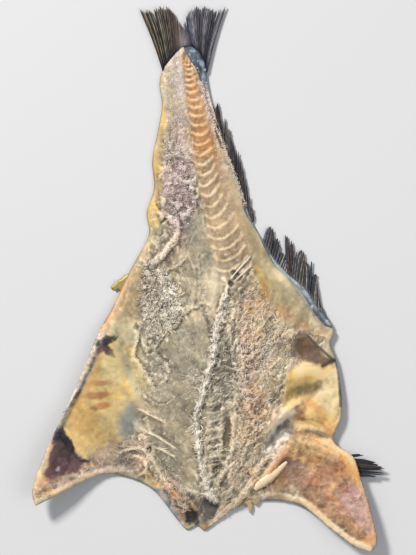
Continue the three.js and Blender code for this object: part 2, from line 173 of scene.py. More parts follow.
def noise(x, y, scale, seed):
    """Smooth noise between -1 and 1 with cells of the given scale."""
    table = np.random.RandomState(seed).uniform(-1, 1, (NOISE_SIZE, NOISE_SIZE))
    turn = 0.6 + seed * 0.37
    gx = (x * math.cos(turn) + y * math.sin(turn)) / scale + NOISE_OFFSET[0]
    gy = (y * math.cos(turn) - x * math.sin(turn)) / scale + NOISE_OFFSET[1]
    ix, iy = np.floor(gx).astype(int), np.floor(gy).astype(int)
    fx, fy = gx - ix, gy - iy
    fx, fy = fx * fx * (3 - 2 * fx), fy * fy * (3 - 2 * fy)
    i0, i1 = ix % NOISE_SIZE, (ix + 1) % NOISE_SIZE
    j0, j1 = iy % NOISE_SIZE, (iy + 1) % NOISE_SIZE
    low = table[i0, j0] * (1 - fx) + table[i1, j0] * fx
    high = table[i0, j1] * (1 - fx) + table[i1, j1] * fx
    return low * (1 - fy) + high * fy


def rough(x, y, scale, seed, octaves=3):
    """Noise with finer and weaker copies added."""
    total, weight = 0, 0
    for k in range(octaves):
        total = total + noise(x, y, scale / 2 ** k, seed + 17 * k) * 0.55 ** k
        weight += 0.55 ** k
    return total / weight


def near_line(x, y, line, reach):
    """Distance to a line, place along it from 0 to 1, and side (above 0 on its left); reach where further."""
    line = np.asarray(line, float)
    best = np.full(x.shape, float(reach))
    place = np.zeros(x.shape)
    side = np.zeros(x.shape)
    steps = np.hypot(*np.diff(line, axis=0).T)
    ends = np.concatenate([[0], np.cumsum(steps)]) / max(steps.sum(), 1e-9)
    low, high = line.min(axis=0) - reach, line.max(axis=0) + reach
    rows = np.nonzero((x >= low[0]) & (x <= high[0]) & (y >= low[1]) & (y <= high[1]))
    px, py = x[rows], y[rows]
    d, t, s = best[rows], place[rows], side[rows]
    for k in range(len(line) - 1):
        (ax, ay), (bx, by) = line[k], line[k + 1]
        close = (px >= min(ax, bx) - reach) & (px <= max(ax, bx) + reach)
        close &= (py >= min(ay, by) - reach) & (py <= max(ay, by) + reach)
        qx, qy = px[close] - ax, py[close] - ay
        ux, uy = bx - ax, by - ay
        share = np.clip((qx * ux + qy * uy) / max(ux * ux + uy * uy, 1e-9), 0, 1)
        gap = np.hypot(qx - share * ux, qy - share * uy)
        nearer = gap < d[close]
        spots = np.nonzero(close)[0][nearer]
        d[spots] = gap[nearer]
        t[spots] = ends[k] + (ends[k + 1] - ends[k]) * share[nearer]
        s[spots] = np.sign(ux * qy - uy * qx)[nearer]
    best[rows], place[rows], side[rows] = d, t, s
    return best, place, side


def inside(x, y, corners):
    """Which points lie in a polygon."""
    corners = np.asarray(corners, float)
    low, high = corners.min(axis=0), corners.max(axis=0)
    result = np.zeros(x.shape, bool)
    rows = np.nonzero((x >= low[0]) & (x <= high[0]) & (y >= low[1]) & (y <= high[1]))
    px, py = x[rows], y[rows]
    odd = np.zeros(px.shape, bool)
    for (ax, ay), (bx, by) in zip(corners, np.roll(corners, -1, axis=0)):
        if ay == by:
            continue
        crosses = (ay > py) != (by > py)
        odd ^= crosses & (px < ax + (py - ay) * (bx - ax) / (by - ay))
    result[rows] = odd
    return result


def polygon_depth(x, y, corners, reach):
    """Signed distance to a polygon's edge: above 0 inside, as far as reach."""
    closed = np.vstack([corners, corners[:1]])
    gap = near_line(x, y, closed, reach)[0]
    return np.where(inside(x, y, corners), gap, -gap)


def undersides(x, y):
    """Height of the skin over the surface that the fish lies on."""
    side = x - along(BACK_LINE, y)
    height = np.where(side < 0, LEFT_CURL[0], RIGHT_CURL[0])
    end = np.where(side < 0, LEFT_CURL[1], RIGHT_CURL[1])
    z = height * unit_steps(CURL_START, end, np.abs(side))
    for cx, cy, radius, rise in COLLAR_TIPS:
        z = z + rise * bell(np.hypot(x - cx, y - cy) / radius)
    arch = np.maximum(bell((side - HOLLOW_OFFSET) / HOLLOW_HALF_WIDTH) - 0.02, 0)
    return z + HOLLOW_HEIGHT * arch * unit_steps(*HOLLOW_NAPE_END, y) * unit_steps(*HOLLOW_TAIL_END, y)


def broad_forms(x, y):
    """Sum of the broad swells and dips of the upper face."""
    total = 0
    for cx, cy, across, lengthways, turn, height in BROAD_FORMS:
        u, v = turned(x - cx, y - cy, turn)
        total = total + height * bell(np.hypot(u / across, v / lengthways))
    return total


def thickness(x, y, from_edge):
    """Thickness of the body: full over the fillets, thin on the flaps, rounded off at the rim."""
    side = np.abs(x - along(BACK_LINE, y))
    fillet = along(FILLET_THICKNESS, y)
    flap = np.minimum(FLAP_THICKNESS, fillet)
    share = np.exp(-np.power(side / along(FILLET_HALF_WIDTH, y), FILLET_SQUARENESS))
    full = np.maximum(flap + (fillet - flap) * share + broad_forms(x, y), LEAST_THICKNESS)
    inward = 1 - np.clip(from_edge / RIM_ROUNDING, 0, 1)
    return RIM_THICKNESS + (full - RIM_THICKNESS) * np.sqrt(1 - inward * inward)


# The plan's outlines.
left_edge = spline(LEFT_EDGE)
right_edge = spline(RIGHT_EDGE)
nape_edge = spline(NAPE_EDGE)
tail_end = spline(TAIL_END)
WHOLE_OUTLINE = np.vstack([left_edge[:-1], nape_edge[:-1], right_edge[::-1][:-1], tail_end[::-1][:-1]])
lower_right = right_edge[::-1]
lower_right = lower_right[lower_right[:, 1] < -63]
FLESH_OUTLINE = np.vstack([left_edge[:-1], nape_edge[:-1], lower_right, spline(FLESH_END)[:-1],
                           tail_end[:16][::-1][:-1]])
# Bare skin shows beside the flesh, out to the roots of the fins.
BAND_EDGE = [
    (150, -64), (152, -59), (137, -36), (120, -13), (107, -2), (97, 6), (82, 22), (68, 44), (54, 67),
    (45, 101), (29, 146), (13, 184), (1, 220), (-4, 244), (-5, 268),
]
band_inner = spline(FLESH_END) - np.array([3.5, 1.0])
BAND_OUTLINE = np.vstack([spline(BAND_EDGE), tail_end[17:-1][::-1], band_inner[::-1]])

PLAN_MARGIN = 3


class Plan:
    """A square grid of points over the plan, or over a part of it, with its step and its arrays."""

    def __init__(self, step, low=(-HALF_WIDTH, -HALF_LENGTH), high=(HALF_WIDTH, HALF_LENGTH)):
        self.step = step
        xs = np.arange(low[0] - PLAN_MARGIN, high[0] + PLAN_MARGIN + step, step)
        ys = np.arange(low[1] - PLAN_MARGIN, high[1] + PLAN_MARGIN + step, step)
        self.x, self.y = np.meshgrid(xs, ys, indexing="ij")


def blurred(field, radius):
    """A field smoothed by a box of the given half size in cells, twice."""
    for _ in range(2):
        for axis in (0, 1):
            padded = np.concatenate([np.repeat(field.take([0], axis), radius + 1, axis), field,
                                     np.repeat(field.take([-1], axis), radius, axis)], axis)
            sums = np.cumsum(padded, axis)
            n = field.shape[axis]
            high = sums.take(range(2 * radius + 1, 2 * radius + 1 + n), axis)
            low = sums.take(range(0, n), axis)
            field = (high - low) / (2 * radius + 1)
    return field


def streaks(plan, angle, length, scale, seed):
    """Noise drawn out along a direction that may differ from point to point."""
    total = 0
    taps = np.linspace(-1, 1, 9)
    for tap in taps:
        total = total + noise(plan.x + tap * length * np.cos(angle), plan.y + tap * length * np.sin(angle),
                              scale, seed)
    return total / len(taps) * 2.2


# Lines of the relief, in mm.
MIDDLE_CREST = [
    (21, -4), (17, -30), (9, -62), (3, -96), (-8, -140), (-17, -177), (-13, -222), (-5, -262), (6, -280),
]
RIGHT_CREST = [(44, -50), (40, -85), (44, -126), (52, -172), (56, -196), (42, -222), (25, -252)]
CURLED_RIM = [(-133, -62), (-146, -92), (-160, -122), (-176, -156), (-190, -186), (-200, -214)]
LEFT_COLLARBONE = [(-214, -280), (-188, -265), (-160, -252), (-132, -242), (-104, -240)]
RIGHT_COLLARBONE = [(70, -272), (96, -276), (120, -282), (150, -309), (176, -328), (196, -337)]
LEFT_THROAT = [(-68, -240), (-52, -262), (-34, -284), (-24, -300)]
RIGHT_THROAT = [(2, -306), (18, -298), (34, -280), (50, -262), (62, -236), (88, -214)]
BONE_END = [(60, -258), (72, -244), (84, -228), (95, -214)]
# Lines of the relief and of the paint, in pixels.
FOLD_FLAP_LINE = [(163, 213), (170, 218), (177, 225), (176, 236), (170, 246), (161, 257), (150, 265)]
LONG_SPLINTER = [(230.8, 278.4), (240, 268), (249.9, 256.7)]
SHORT_SPLINTER = [(234.6, 281), (243, 273), (251, 265.7)]
UPPER_RIB = [(139, 410), (152, 416), (164, 422)]
MIDDLE_RIB = [(146, 432), (158, 437), (171, 445)]
LOWER_RIB = [(156, 448), (165, 451), (175, 457)]
FOLD_FLAP = to_mm(FOLD_FLAP_LINE)

# Ridges: line, half width, height, raggedness.
RIDGES = [
    (MIDDLE_CREST, 3.4, 3.0, 1.5),
    (MIDDLE_CREST, 5.5, 0.7, 0.8),
    (RIGHT_CREST, 4.0, 2.0, 1.6),
    (CURLED_RIM, 4.2, 4.2, 0.2),
    (LEFT_COLLARBONE, 5.0, 3.0, 0.2),
    (RIGHT_COLLARBONE, 4.6, 3.2, 0.15),
    (LEFT_THROAT, 4.4, 2.8, 0.5),
    (RIGHT_THROAT, 4.6, 3.0, 0.3),
    (BONE_END, 6.0, 4.6, 0.15),
    (FOLD_FLAP, 4.2, 3.4, 0.5),
    (to_mm([(154, 205), (160, 214), (166, 224)]), 2.6, 1.6, 0.3),
    (to_mm([(139.4, 409.8), (152, 416), (164, 421.7)]), 1.5, 1.5, 0.3),
    (to_mm([(146.5, 432), (158, 437), (170.3, 445)]), 1.7, 1.8, 0.3),
    (to_mm([(156.3, 447.7), (165, 451), (174.5, 456.8)]), 1.6, 1.6, 0.3),
    (to_mm([(119, 453), (138, 448.5), (147, 454), (147, 462)]), 2.0, 2.0, 0.4),
    (to_mm([(127, 455), (142, 459), (146, 470), (136, 478)]), 1.8, 1.8, 0.4),
    (to_mm([(147, 452), (154, 462), (160, 474)]), 1.8, 1.6, 0.5),
    (to_mm(LONG_SPLINTER), 1.1, 0.6, 0.1),
    (to_mm(SHORT_SPLINTER), 1.0, 0.6, 0.1),
    (to_mm([(283, 412), (292, 405), (298, 402)]), 4.0, 1.2, 0.5),
    (to_mm([(301, 434), (318, 438), (331, 443), (343, 450), (354, 458)]), 4.6, 2.6, 0.2),
    (to_mm([(190, 190), (194, 188), (198, 192), (197, 197), (191, 196)]), 1.6, 1.6, 0.3),
    (to_mm([(219, 124), (224, 128), (221, 133)]), 1.8, 1.8, 0.4),
    (to_mm([(231, 420), (233, 439), (229, 456), (221, 476), (215, 490)]), 3.2, 2.0, 0.5),
]
# Ladder-like ledges of sinew between the crest and the pit.
for ledge_y in (404, 412, 421, 430, 438, 446, 456, 465, 474):
    RIDGES.append((to_mm([(207, ledge_y + 1), (214, ledge_y), (222, ledge_y - 2.5)]), 1.9, 1.5, 0.7))

# Torn layers: line, height of the step, reach. The flesh on the left of the line as it runs stands higher.
LEDGES = [
    (to_mm([(164, 383), (170, 372), (167, 364), (158, 356), (156, 349), (165, 334), (176, 328), (181, 320),
            (188, 311), (198, 307), (204, 304), (211, 309)]), 1.9, 9.0),
    (to_mm([(158, 393), (150, 379), (142, 366), (135, 354), (138, 337), (142, 322)]), 2.0, 9.0),
    (to_mm([(144, 312), (150, 290), (160, 276), (176, 268), (186, 258)]), 1.2, 8.0),
    (to_mm([(204, 286), (202, 298), (206, 310), (212, 326), (214, 340)]), 1.2, 7.0),
    (to_mm([(214, 340), (217, 328), (220, 316), (225, 298)]), 1.4, 6.0),
    (to_mm([(290, 352), (285, 368), (284, 384), (282, 398)]), 1.2, 8.0),
    (to_mm([(237, 300), (236, 340), (238, 372), (240, 400)]), 1.3, 6.0),
    (to_mm([(230, 414), (233, 439), (228, 458), (221, 476), (215, 490)]), 1.6, 6.0),
    (to_mm([(176, 392), (168, 402), (158, 404), (146, 396), (138, 388)]), 0.9, 5.0),
    (to_mm([(262, 356), (270, 346), (282, 344)]), 1.0, 6.0),
]
# Pits: centre and half sizes in pixels, turn in degrees, depth in mm.
PITS = [
    (227, 432, 4.5, 17, 4, 4.5),
    (221, 473, 6.5, 15, -24, 5.5),
    (230.8, 283, 3.2, 3.4, 0, 4.0),
    (236, 275, 3.0, 7.0, -42, 1.6),
    (149.5, 450, 2.6, 4.5, 15, 4.0),
    (191, 516, 7, 7, 20, 3.0),
    (210, 509, 9, 12, -20, 2.6),
    (165, 219, 1.6, 6, 35, 3.0),
    (277, 436, 5, 12, 33, 1.2),
    (136, 326, 3, 3.5, 0, 1.4),
    (254, 480, 3, 12, -42, 2.5),
    (245, 500, 14, 4, 30, 1.5),
    (130, 465, 9, 5, 10, 1.8),
    (66, 440, 3.5, 14, -35, 1.6),
    (62, 460, 12, 14, 20, 1.4),
]

VERTEBRA_COUNT = 24
VERTEBRA_START_Y = 267.0
VERTEBRA_LEFT_X = [(272, -33), (236, -29), (206, -26), (157, -20), (116, -13), (57, -2), (0, 7)]
VERTEBRA_RIGHT_X = [
    (268, -25), (242, -19), (218, -12), (188, -4), (166, 0), (140, 5), (116, 11), (90, 22), (60, 38),
     (24, 47),
]


def vertebra_lines():
    """The bared tailbone's arcs, from the tail, each with its spacing."""
    made = []
    y = VERTEBRA_START_Y
    for k in range(VERTEBRA_COUNT):
        spacing = min(5.5 + 0.7 * k, 13)
        rise = 1 + 14 * float(unit_steps(205, 90, y))
        left_x = float(along(VERTEBRA_LEFT_X, y))
        right_x = float(along(VERTEBRA_RIGHT_X, y + rise))
        width = right_x - left_x
        points = [(left_x, y + 0.8), (left_x + width * 0.18, y - 0.07 * width),
                  (left_x + width * 0.45, y + rise * 0.12 - 0.13 * width),
                  (right_x - width * 0.22, y + rise * 0.52 - 0.08 * width), (right_x, y + rise)]
        made.append((spline(points, 5), spacing))
        y -= spacing
    return made


def dots(x, y, size, seed, share, softness=0.15):
    """Scattered spots of about the given size that cover a share of the plan, from 0 to 1."""
    field = noise(x, y, size, seed) + 0.35 * noise(x, y, size * 0.5, seed + 1)
    edge = np.quantile(field, 1 - share)
    return unit_steps(edge, edge + softness, field)


def veins(x, y, size, seed, width=0.08):
    """Thin wandering lines, from 0 to 1."""
    field = rough(x, y, size, seed, 2)
    return 1 - unit_steps(0, width, np.abs(field))


def terraces(field, levels, sharpness=0.3):
    """A field cut into levels with short slopes between them."""
    scaled = field * levels
    whole = np.floor(scaled)
    return (whole + unit_steps(1 - sharpness, 1, scaled - whole)) / levels


def torn_layers(x, y, angle, spacing, seed):
    """Overlapping torn sheets: their height, the painted highlight on their lips and the painted shade at
    their feet, each from 0 to 1.
    """
    across = (x * np.cos(angle) + y * np.sin(angle)) / spacing
    across = across + 1.3 * rough(x, y, 20, seed) + 0.3 * rough(x, y, 5, seed + 1)
    share = across - np.floor(across)
    strength = np.clip(0.45 + 1.3 * rough(x, y, 13, seed + 2), 0, 1)
    height = strength * np.power(share, 1.6) * (1 - unit_steps(0.92, 1.0, share))
    lit_lip = strength * bell((share - 0.86) / 0.1)
    shaded_foot = strength * np.maximum(bell(share / 0.09), bell((1 - share) / 0.03))
    return height, lit_lip, shaded_foot


def flow_angle(x, y):
    """The direction of the fibres at a point, in radians from +X."""
    side = x - along(BACK_LINE, y)
    spread = unit_steps(-10, -120, y)
    sign = unit_steps(-8, 8, side) * 2 - 1
    return math.pi / 2 - sign * np.radians(12 + 26 * spread)


def zone(x, y, corners, softness, warp=0.0):
    """How far a point is in a zone of the plan, from 0 to 1, with a soft edge."""
    return unit_steps(-softness, softness, polygon_depth(x, y, np.array(corners), softness * 2) + warp)


def with_ridges(z, x, y, warp_x, warp_y, frayed):
    """The height with the ridges laid on it."""
    for line, half_width, height, raggedness in RIDGES:
        curve = spline(line, 5)
        gap, place, _ = near_line(x + warp_x * raggedness, y + warp_y * raggedness, curve, half_width * 3)
        taper = np.sqrt(np.clip(np.sin(np.pi * (0.04 + 0.92 * place)), 0, 1))
        lumps = 1 + raggedness * 1.4 * (frayed - 1)
        spread = half_width * (1 + raggedness * 0.5 * noise(x, y, 6, 9))
        z = z + height * taper * lumps * np.exp(-np.power(gap / spread, 2.6))
    return z


def with_ledges(z, wx, wy):
    """The height with the steps of the torn layers, the steps' tops, and the painted shade at their feet,
    each from 0 to 1.
    """
    top, shaded_foot = np.zeros(z.shape), np.zeros(z.shape)
    for line, height, reach in LEDGES:
        gap, place, side = near_line(wx, wy, spline(line, 5), reach)
        ends = np.clip(np.sin(np.pi * place), 0, 1) ** 0.4
        fade = 1 - unit_steps(0, reach, gap)
        above = unit_steps(-0.9, 0.9, gap * side)
        z = z + height * ends * fade * (above - 0.35)
        top = np.maximum(top, ends * above * (0.45 * fade + 0.55 * bell(gap / 1.8)))
        shaded_foot = np.maximum(shaded_foot, ends * (1 - above) * bell(gap / 2.4))
    return z, top, shaded_foot


def vertebra_arcs(x, y, warp_x, warp_y, frayed):
    """How far each point lies on an arc of the bared tailbone, from 0 up."""
    arcs = np.zeros(x.shape)
    strength = np.clip(0.45 + 0.5 * frayed + 0.35 * rough(x, y, 9, 12), 0.15, 1.1)
    for line, spacing in vertebra_lines():
        half = min(0.7 + 0.12 * spacing, 2.0)
        gap, place, _ = near_line(x + warp_x * 0.6, y + warp_y * 0.6, line, half * 3.5)
        arcs = np.maximum(arcs, bell(gap / half) * strength * (1 - 0.45 * np.square(2 * place - 1)))
    return arcs


def torn_share(x, y):
    """How torn the flesh's face is, from 0 to 1."""
    torn = np.full(x.shape, 0.6)
    for amount, softness, corners in TORN_ZONES:
        torn = torn + (amount - torn) * zone(x, y, to_mm(corners), softness, rough(x, y, 10, 66) * 4)
    for corners in DARK_PATCHES:
        torn = torn * (1 - 0.9 * zone(x, y, to_mm(corners), 1.5))
    return torn


def flesh_relief(plan):
    """The flesh's upper height over the whole grid, and the fields that the paint needs."""
    x, y = plan.x, plan.y
    from_edge = np.maximum(polygon_depth(x, y, WHOLE_OUTLINE, 40.0), 0)
    z = undersides(x, y) + thickness(x, y, from_edge)
    inner = unit_steps(0.5, 8, from_edge)
    warp_x = rough(x, y, 9, 3) * 2.4 + noise(x, y, 2.7, 4) * 0.7
    warp_y = rough(x, y, 9, 5) * 2.4 + noise(x, y, 2.7, 6) * 0.7
    wx, wy = x + warp_x, y + warp_y
    frayed = 0.55 + 0.9 * np.clip(0.5 + rough(x, y, 4.0, 8, 2), 0, 1)
    z = with_ridges(z, x, y, warp_x, warp_y, frayed)
    z, ledge_top, ledge_shade = with_ledges(z, wx, wy)
    for *oval, deep in PITS:
        z = z - deep * np.exp(-np.power(from_oval(wx, wy, *oval), 4))
    arcs = vertebra_arcs(x, y, warp_x, warp_y, frayed)
    z = z + arcs * inner

    # Masks of the flesh's kinds, then fibres, ropes and layers on them.
    angle = flow_angle(x, y)
    fibres = streaks(plan, angle, 5.0, 2.4, 41)
    coarse = streaks(plan, angle, 12.0, 7.0, 47)
    torn = torn_share(x, y)
    column = zone(x, y, COLUMN, 4)
    tufts = zone(x, y, TUFTS, 10, rough(x, y, 12, 68) * 5)
    granular = zone(x, y, GRANULAR, 12, rough(x, y, 12, 69) * 14) * (1 - 0.7 * unit_steps(100, 190, y))
    layers = terraces(0.35 * coarse + 0.9 * rough(wx, wy, 24, 51), 2.4, 0.2)
    fine_layers = terraces(rough(wx, wy, 10, 53) + 0.3 * fibres, 2.2, 0.3)
    quiet = 1 - 0.75 * column
    shaggy = 0.12 + 0.88 * unit_steps(-0.16, 0.3, rough(x, y, 20, 62))
    swung = angle + 0.9 * rough(x, y, 26, 63)
    ropes = np.clip(1.5 * streaks(plan, swung, 10.0, 2.8, 45) - 0.3, 0, 1.2)
    hairs = np.clip(1.6 * streaks(plan, swung + 0.5 * rough(x, y, 12, 66), 7.0, 1.5, 43) - 0.2, 0, 1)
    z = z + inner * torn * quiet * (1.7 * layers + shaggy * (0.35 * fine_layers + 0.85 * ropes + 0.3 * hairs))
    lines = np.maximum(0.7 * veins(wx, wy, 15, 57, 0.04), 0.7 * veins(wx, wy, 7, 60, 0.06))
    lines = 0.6 * lines * np.clip(torn, 0, 1) * unit_steps(-0.25, 0.25, rough(x, y, 16, 64)) * shaggy
    z = z + inner * 0.6 * lines * quiet
    sheets = [torn_layers(x, y, angle + 1.1, 19, 91), torn_layers(x, y, angle - 0.5, 13, 95)]
    z = z + inner * torn * quiet * (2.0 * sheets[0][0] + 1.1 * sheets[1][0])
    lit_lips = torn * np.maximum(sheets[0][1], 0.7 * sheets[1][1])
    shaded_feet = torn * np.maximum(sheets[0][2], 0.7 * sheets[1][2])

    # Small lumps and holes, clumps of tufts, wrinkles of the right collar, and crumbs.
    z = z + inner * torn * 0.5 * (dots(x, y, 3.0, 58, 0.1, 0.3) - dots(x, y, 3.4, 59, 0.06, 0.3)) * quiet
    z = z + (0.05 + 0.05 * torn) * noise(x, y, 2.6, 61) * inner
    z = z + inner * 0.7 * rough(x, y, 20, 67)
    clumps = dots(wx, wy, 13, 71, 0.4, 0.35) + 0.5 * dots(wx, wy, 6, 72, 0.25, 0.3)
    clumps = clumps * (0.35 + 0.8 * ropes + 0.3 * hairs)
    z = z + inner * tufts * (3.0 * clumps - 0.6)
    wrinkled = zone(x, y, to_mm(RIGHT_WING), 6)
    z = z + inner * wrinkled * (0.45 * veins(x * 0.7 + y * 0.5, y, 8, 81, 0.12) + 0.6 * rough(x, y, 6, 83))
    crumbs = dots(wx, wy, 7.5, 74, 0.34, 0.3) + 0.5 * dots(x, y, 3.8, 75, 0.28, 0.3)
    z = z + inner * granular * (1.5 * crumbs - 0.6)
    z = np.maximum(z, undersides(x, y) + 1.4 + 1.0 * inner)
    return z, dict(
        arcs=arcs, clumps=np.clip(clumps, 0, 1), crumbs=np.clip(crumbs, 0, 1), torn=torn, lines=lines,
        lit_lips=lit_lips, shaded_feet=shaded_feet, ropes=ropes * shaggy, hairs=hairs * shaggy, shaggy=shaggy, fibres=fibres,
        coarse=coarse, column=column, tufts=tufts, granular=granular, ledge_top=ledge_top,
        ledge_shade=ledge_shade)


# Colours, as seen in daylight, 0 to 255.
COLOURS = {
    "cream plate": (228, 211, 181), "shaded skin": (112, 128, 146), "khaki": (176, 160, 132),
    "grey loin": (134, 129, 113), "olive loin": (160, 147, 123), "warm loin": (204, 174, 138),
    "deep loin": (148, 132, 110), "pink loin": (192, 160, 142), "cream loin": (208, 190, 160),
    "membrane": (180, 169, 148), "orange column": (204, 152, 98), "sand": (189, 166, 135),
    "strip": (194, 170, 138), "olive strip": (162, 144, 110), "shoulder": (220, 203, 166),
    "pink white": (204, 184, 158), "lilac white": (196, 186, 184), "pink grey": (176, 152, 140),
    "mauve": (156, 126, 128), "pink bright": (242, 224, 214), "pink brown": (148, 120, 106),
    "mauve dark": (112, 84, 92), "yellow tan": (188, 166, 122), "yellow fat": (198, 162, 88),
    "green fat": (174, 154, 78), "pale tan": (190, 160, 120), "cream": (198, 182, 142),
    "cream bright": (230, 216, 176), "flap yellow": (228, 195, 130), "flap bright": (228, 206, 154),
    "flap orange": (206, 156, 92), "flap olive": (202, 184, 132), "edge orange": (206, 146, 88),
    "stain": (160, 84, 50), "blue stain": (134, 143, 138), "pale blue": (184, 184, 160),
    "dusky": (174, 146, 126), "collar": (188, 148, 114), "maroon": (88, 60, 66), "maroon dark": (58, 40, 46),
    "ivory": (214, 194, 156), "sinew": (236, 225, 208), "rim": (208, 194, 184), "white": (238, 232, 220),
    # The pit colour is painted shade, laid in the pits and at the feet of the torn steps.
    "bone": (240, 216, 180), "black": (32, 31, 37), "dark slate": (70, 70, 76), "pit shade": (116, 106, 86),
    # The lump colour is a painted highlight on the lit tops of the right flap's lumps and on the shoulder
    # ridge. The lump shadow colour is painted shadow under a lump.
    "lump highlight": (255, 226, 172), "lump shadow": (126, 106, 76), "lump pale": (222, 203, 162),
    "lump yellow": (224, 188, 112), "burnt": (124, 78, 46), "rust": (176, 118, 72), "brown": (124, 90, 64),
    "plum": (92, 66, 48), "wing": (180, 132, 94), "wing orange": (212, 152, 94), "wing red": (150, 92, 62),
    "wing gold": (218, 176, 126), "wing purple": (134, 104, 96), "wing lilac": (188, 152, 146),
    "violet": (116, 90, 90), "blue skin": (136, 150, 162), "skin grey": (112, 118, 120),
    # The valley colour is painted light: far paler than the valley's flesh, to offset the shade in its
    # hollow.
    "valley painted light": (244, 236, 222), "cool grey": (204, 196, 186), "olive dark": (138, 130, 104),
    "warm orange": (206, 158, 112), "arc gap": (166, 114, 68), "arc light": (230, 206, 170),
}
# Zones of the flesh, with their corners in pixels of the photograph.
LEFT_FLAP = [(98, 342), (118, 336), (136, 350), (144, 385), (142, 412), (128, 436), (115, 452), (84, 460),
             (70, 442), (62, 424), (80, 390), (93, 362)]
RIGHT_WING = [(283, 450), (292, 432), (302, 426), (330, 442), (352, 456), (358, 470), (368, 500), (374, 530),
              (373, 548), (340, 530), (310, 505), (290, 487), (270, 488), (268, 470)]
RIGHT_FLAP = [(286, 372), (300, 364), (322, 366), (338, 366), (341, 400), (338, 420), (332, 442), (318, 430),
              (300, 425), (284, 420), (282, 396)]
SMOOTH_STRIP = [(222, 150), (232, 176), (242, 200), (250, 222), (270, 252), (290, 276), (320, 318),
                (325, 330), (300, 322), (278, 300), (256, 276), (250, 246), (240, 215), (226, 180)]
LEFT_LOIN = [(188, 314), (204, 310), (213, 332), (208, 365), (200, 392), (193, 430), (196, 468), (186, 486),
             (170, 470), (158, 455), (150, 428), (150, 406), (160, 398), (171, 376), (170, 352), (178, 330)]
CREAM_PLATE = [(206, 262), (226, 268), (228, 285), (224, 300), (218, 320), (215, 338), (210, 322), (203, 302),
               (200, 282)]
MID_FLESH = [(188, 214), (204, 218), (212, 262), (206, 290), (190, 300), (178, 270), (178, 246)]
BETWEEN_CRESTS = [(222, 296), (238, 296), (240, 340), (239, 395), (246, 430), (232, 470), (214, 492),
                  (204, 440), (208, 400), (216, 350)]
RIGHT_LOIN = [(238, 285), (262, 290), (284, 330), (288, 360), (282, 395), (268, 430), (255, 452), (240, 430),
              (240, 380), (240, 330)]
COLUMN = to_mm([(184, 54), (192, 78), (204, 100), (211, 130), (222, 165), (238, 205), (249, 235), (250, 262),
                (232, 278), (214, 268), (208, 235), (202, 195), (195, 160), (188, 120), (184, 80)])
TUFT_CORNERS = [
    (146, 262), (164, 268), (182, 290), (180, 315), (172, 330), (158, 342), (144, 330), (140, 300),
]
TUFTS = to_mm(TUFT_CORNERS)
GRAINY_LOWER = [(193, 164), (197, 205), (190, 226), (174, 225), (163, 190), (164, 140)]
GRANULAR_CORNERS = [(170, 140), (186, 138)] + GRAINY_LOWER
GRANULAR = to_mm([(172, 112), (186, 116)] + GRAINY_LOWER)
# Smooth dark patches that carry no fibres.
DARK_PATCHES = [
    [(288, 341), (299, 333), (308, 334), (322, 348), (337, 360), (331, 368), (312, 365), (300, 365),
     (295, 354)],
    [(94, 340), (104, 338), (114, 338), (114, 356), (104, 352), (94, 352)],
    [(184, 509), (200, 508), (202, 524), (186, 530)],
    [(203, 497), (214, 499), (220, 506), (213, 520), (204, 524)],
    [(55, 426), (64, 424), (90, 462), (74, 474), (45, 476)],
    [(222, 416), (232, 416), (232, 450), (223, 448)],
    [(270, 424), (284, 418), (282, 438), (268, 448)],
    [(252, 488), (257, 480), (286, 459), (290, 464), (262, 490)],
]
# How torn the flesh's face is: amount, softness in mm, corners.
TORN_ZONES = [
    (0.85, 8, [(150, 285), (186, 290), (206, 308), (176, 330), (162, 345), (176, 380), (160, 400),
     (140, 380),
               (140, 330)]),
    (0.30, 8, LEFT_LOIN),
    (0.12, 6, CREAM_PLATE),
    (0.35, 8, MID_FLESH),
    (1.0, 8, BETWEEN_CRESTS),
    (0.8, 8, RIGHT_LOIN),
    (0.06, 7, SMOOTH_STRIP),
    (0.05, 6, LEFT_FLAP),
    (0.12, 6, RIGHT_WING),
    (0.10, 5, RIGHT_FLAP),
    (0.35, 5, [(40, 470), (90, 464), (120, 476), (60, 496), (34, 504)]),
    (0.12, 4, [(57, 428), (88, 462), (52, 480), (45, 470)]),
    (0.3, 6, [(163, 60), (183, 55), (190, 120), (166, 130)]),
    (0.25, 6, [(118, 280), (146, 262), (142, 318), (138, 345), (100, 338)]),
    (0.2, 6, [(262, 290), (290, 290), (312, 310), (308, 328), (290, 322), (272, 310)]),
    (0.12, 5, [(104, 316), (138, 318), (142, 350), (150, 388), (134, 392), (124, 368), (108, 345)]),
    (0.2, 5, [(150, 70), (160, 66), (162, 140), (152, 215), (140, 250), (126, 275), (120, 270)]),
]

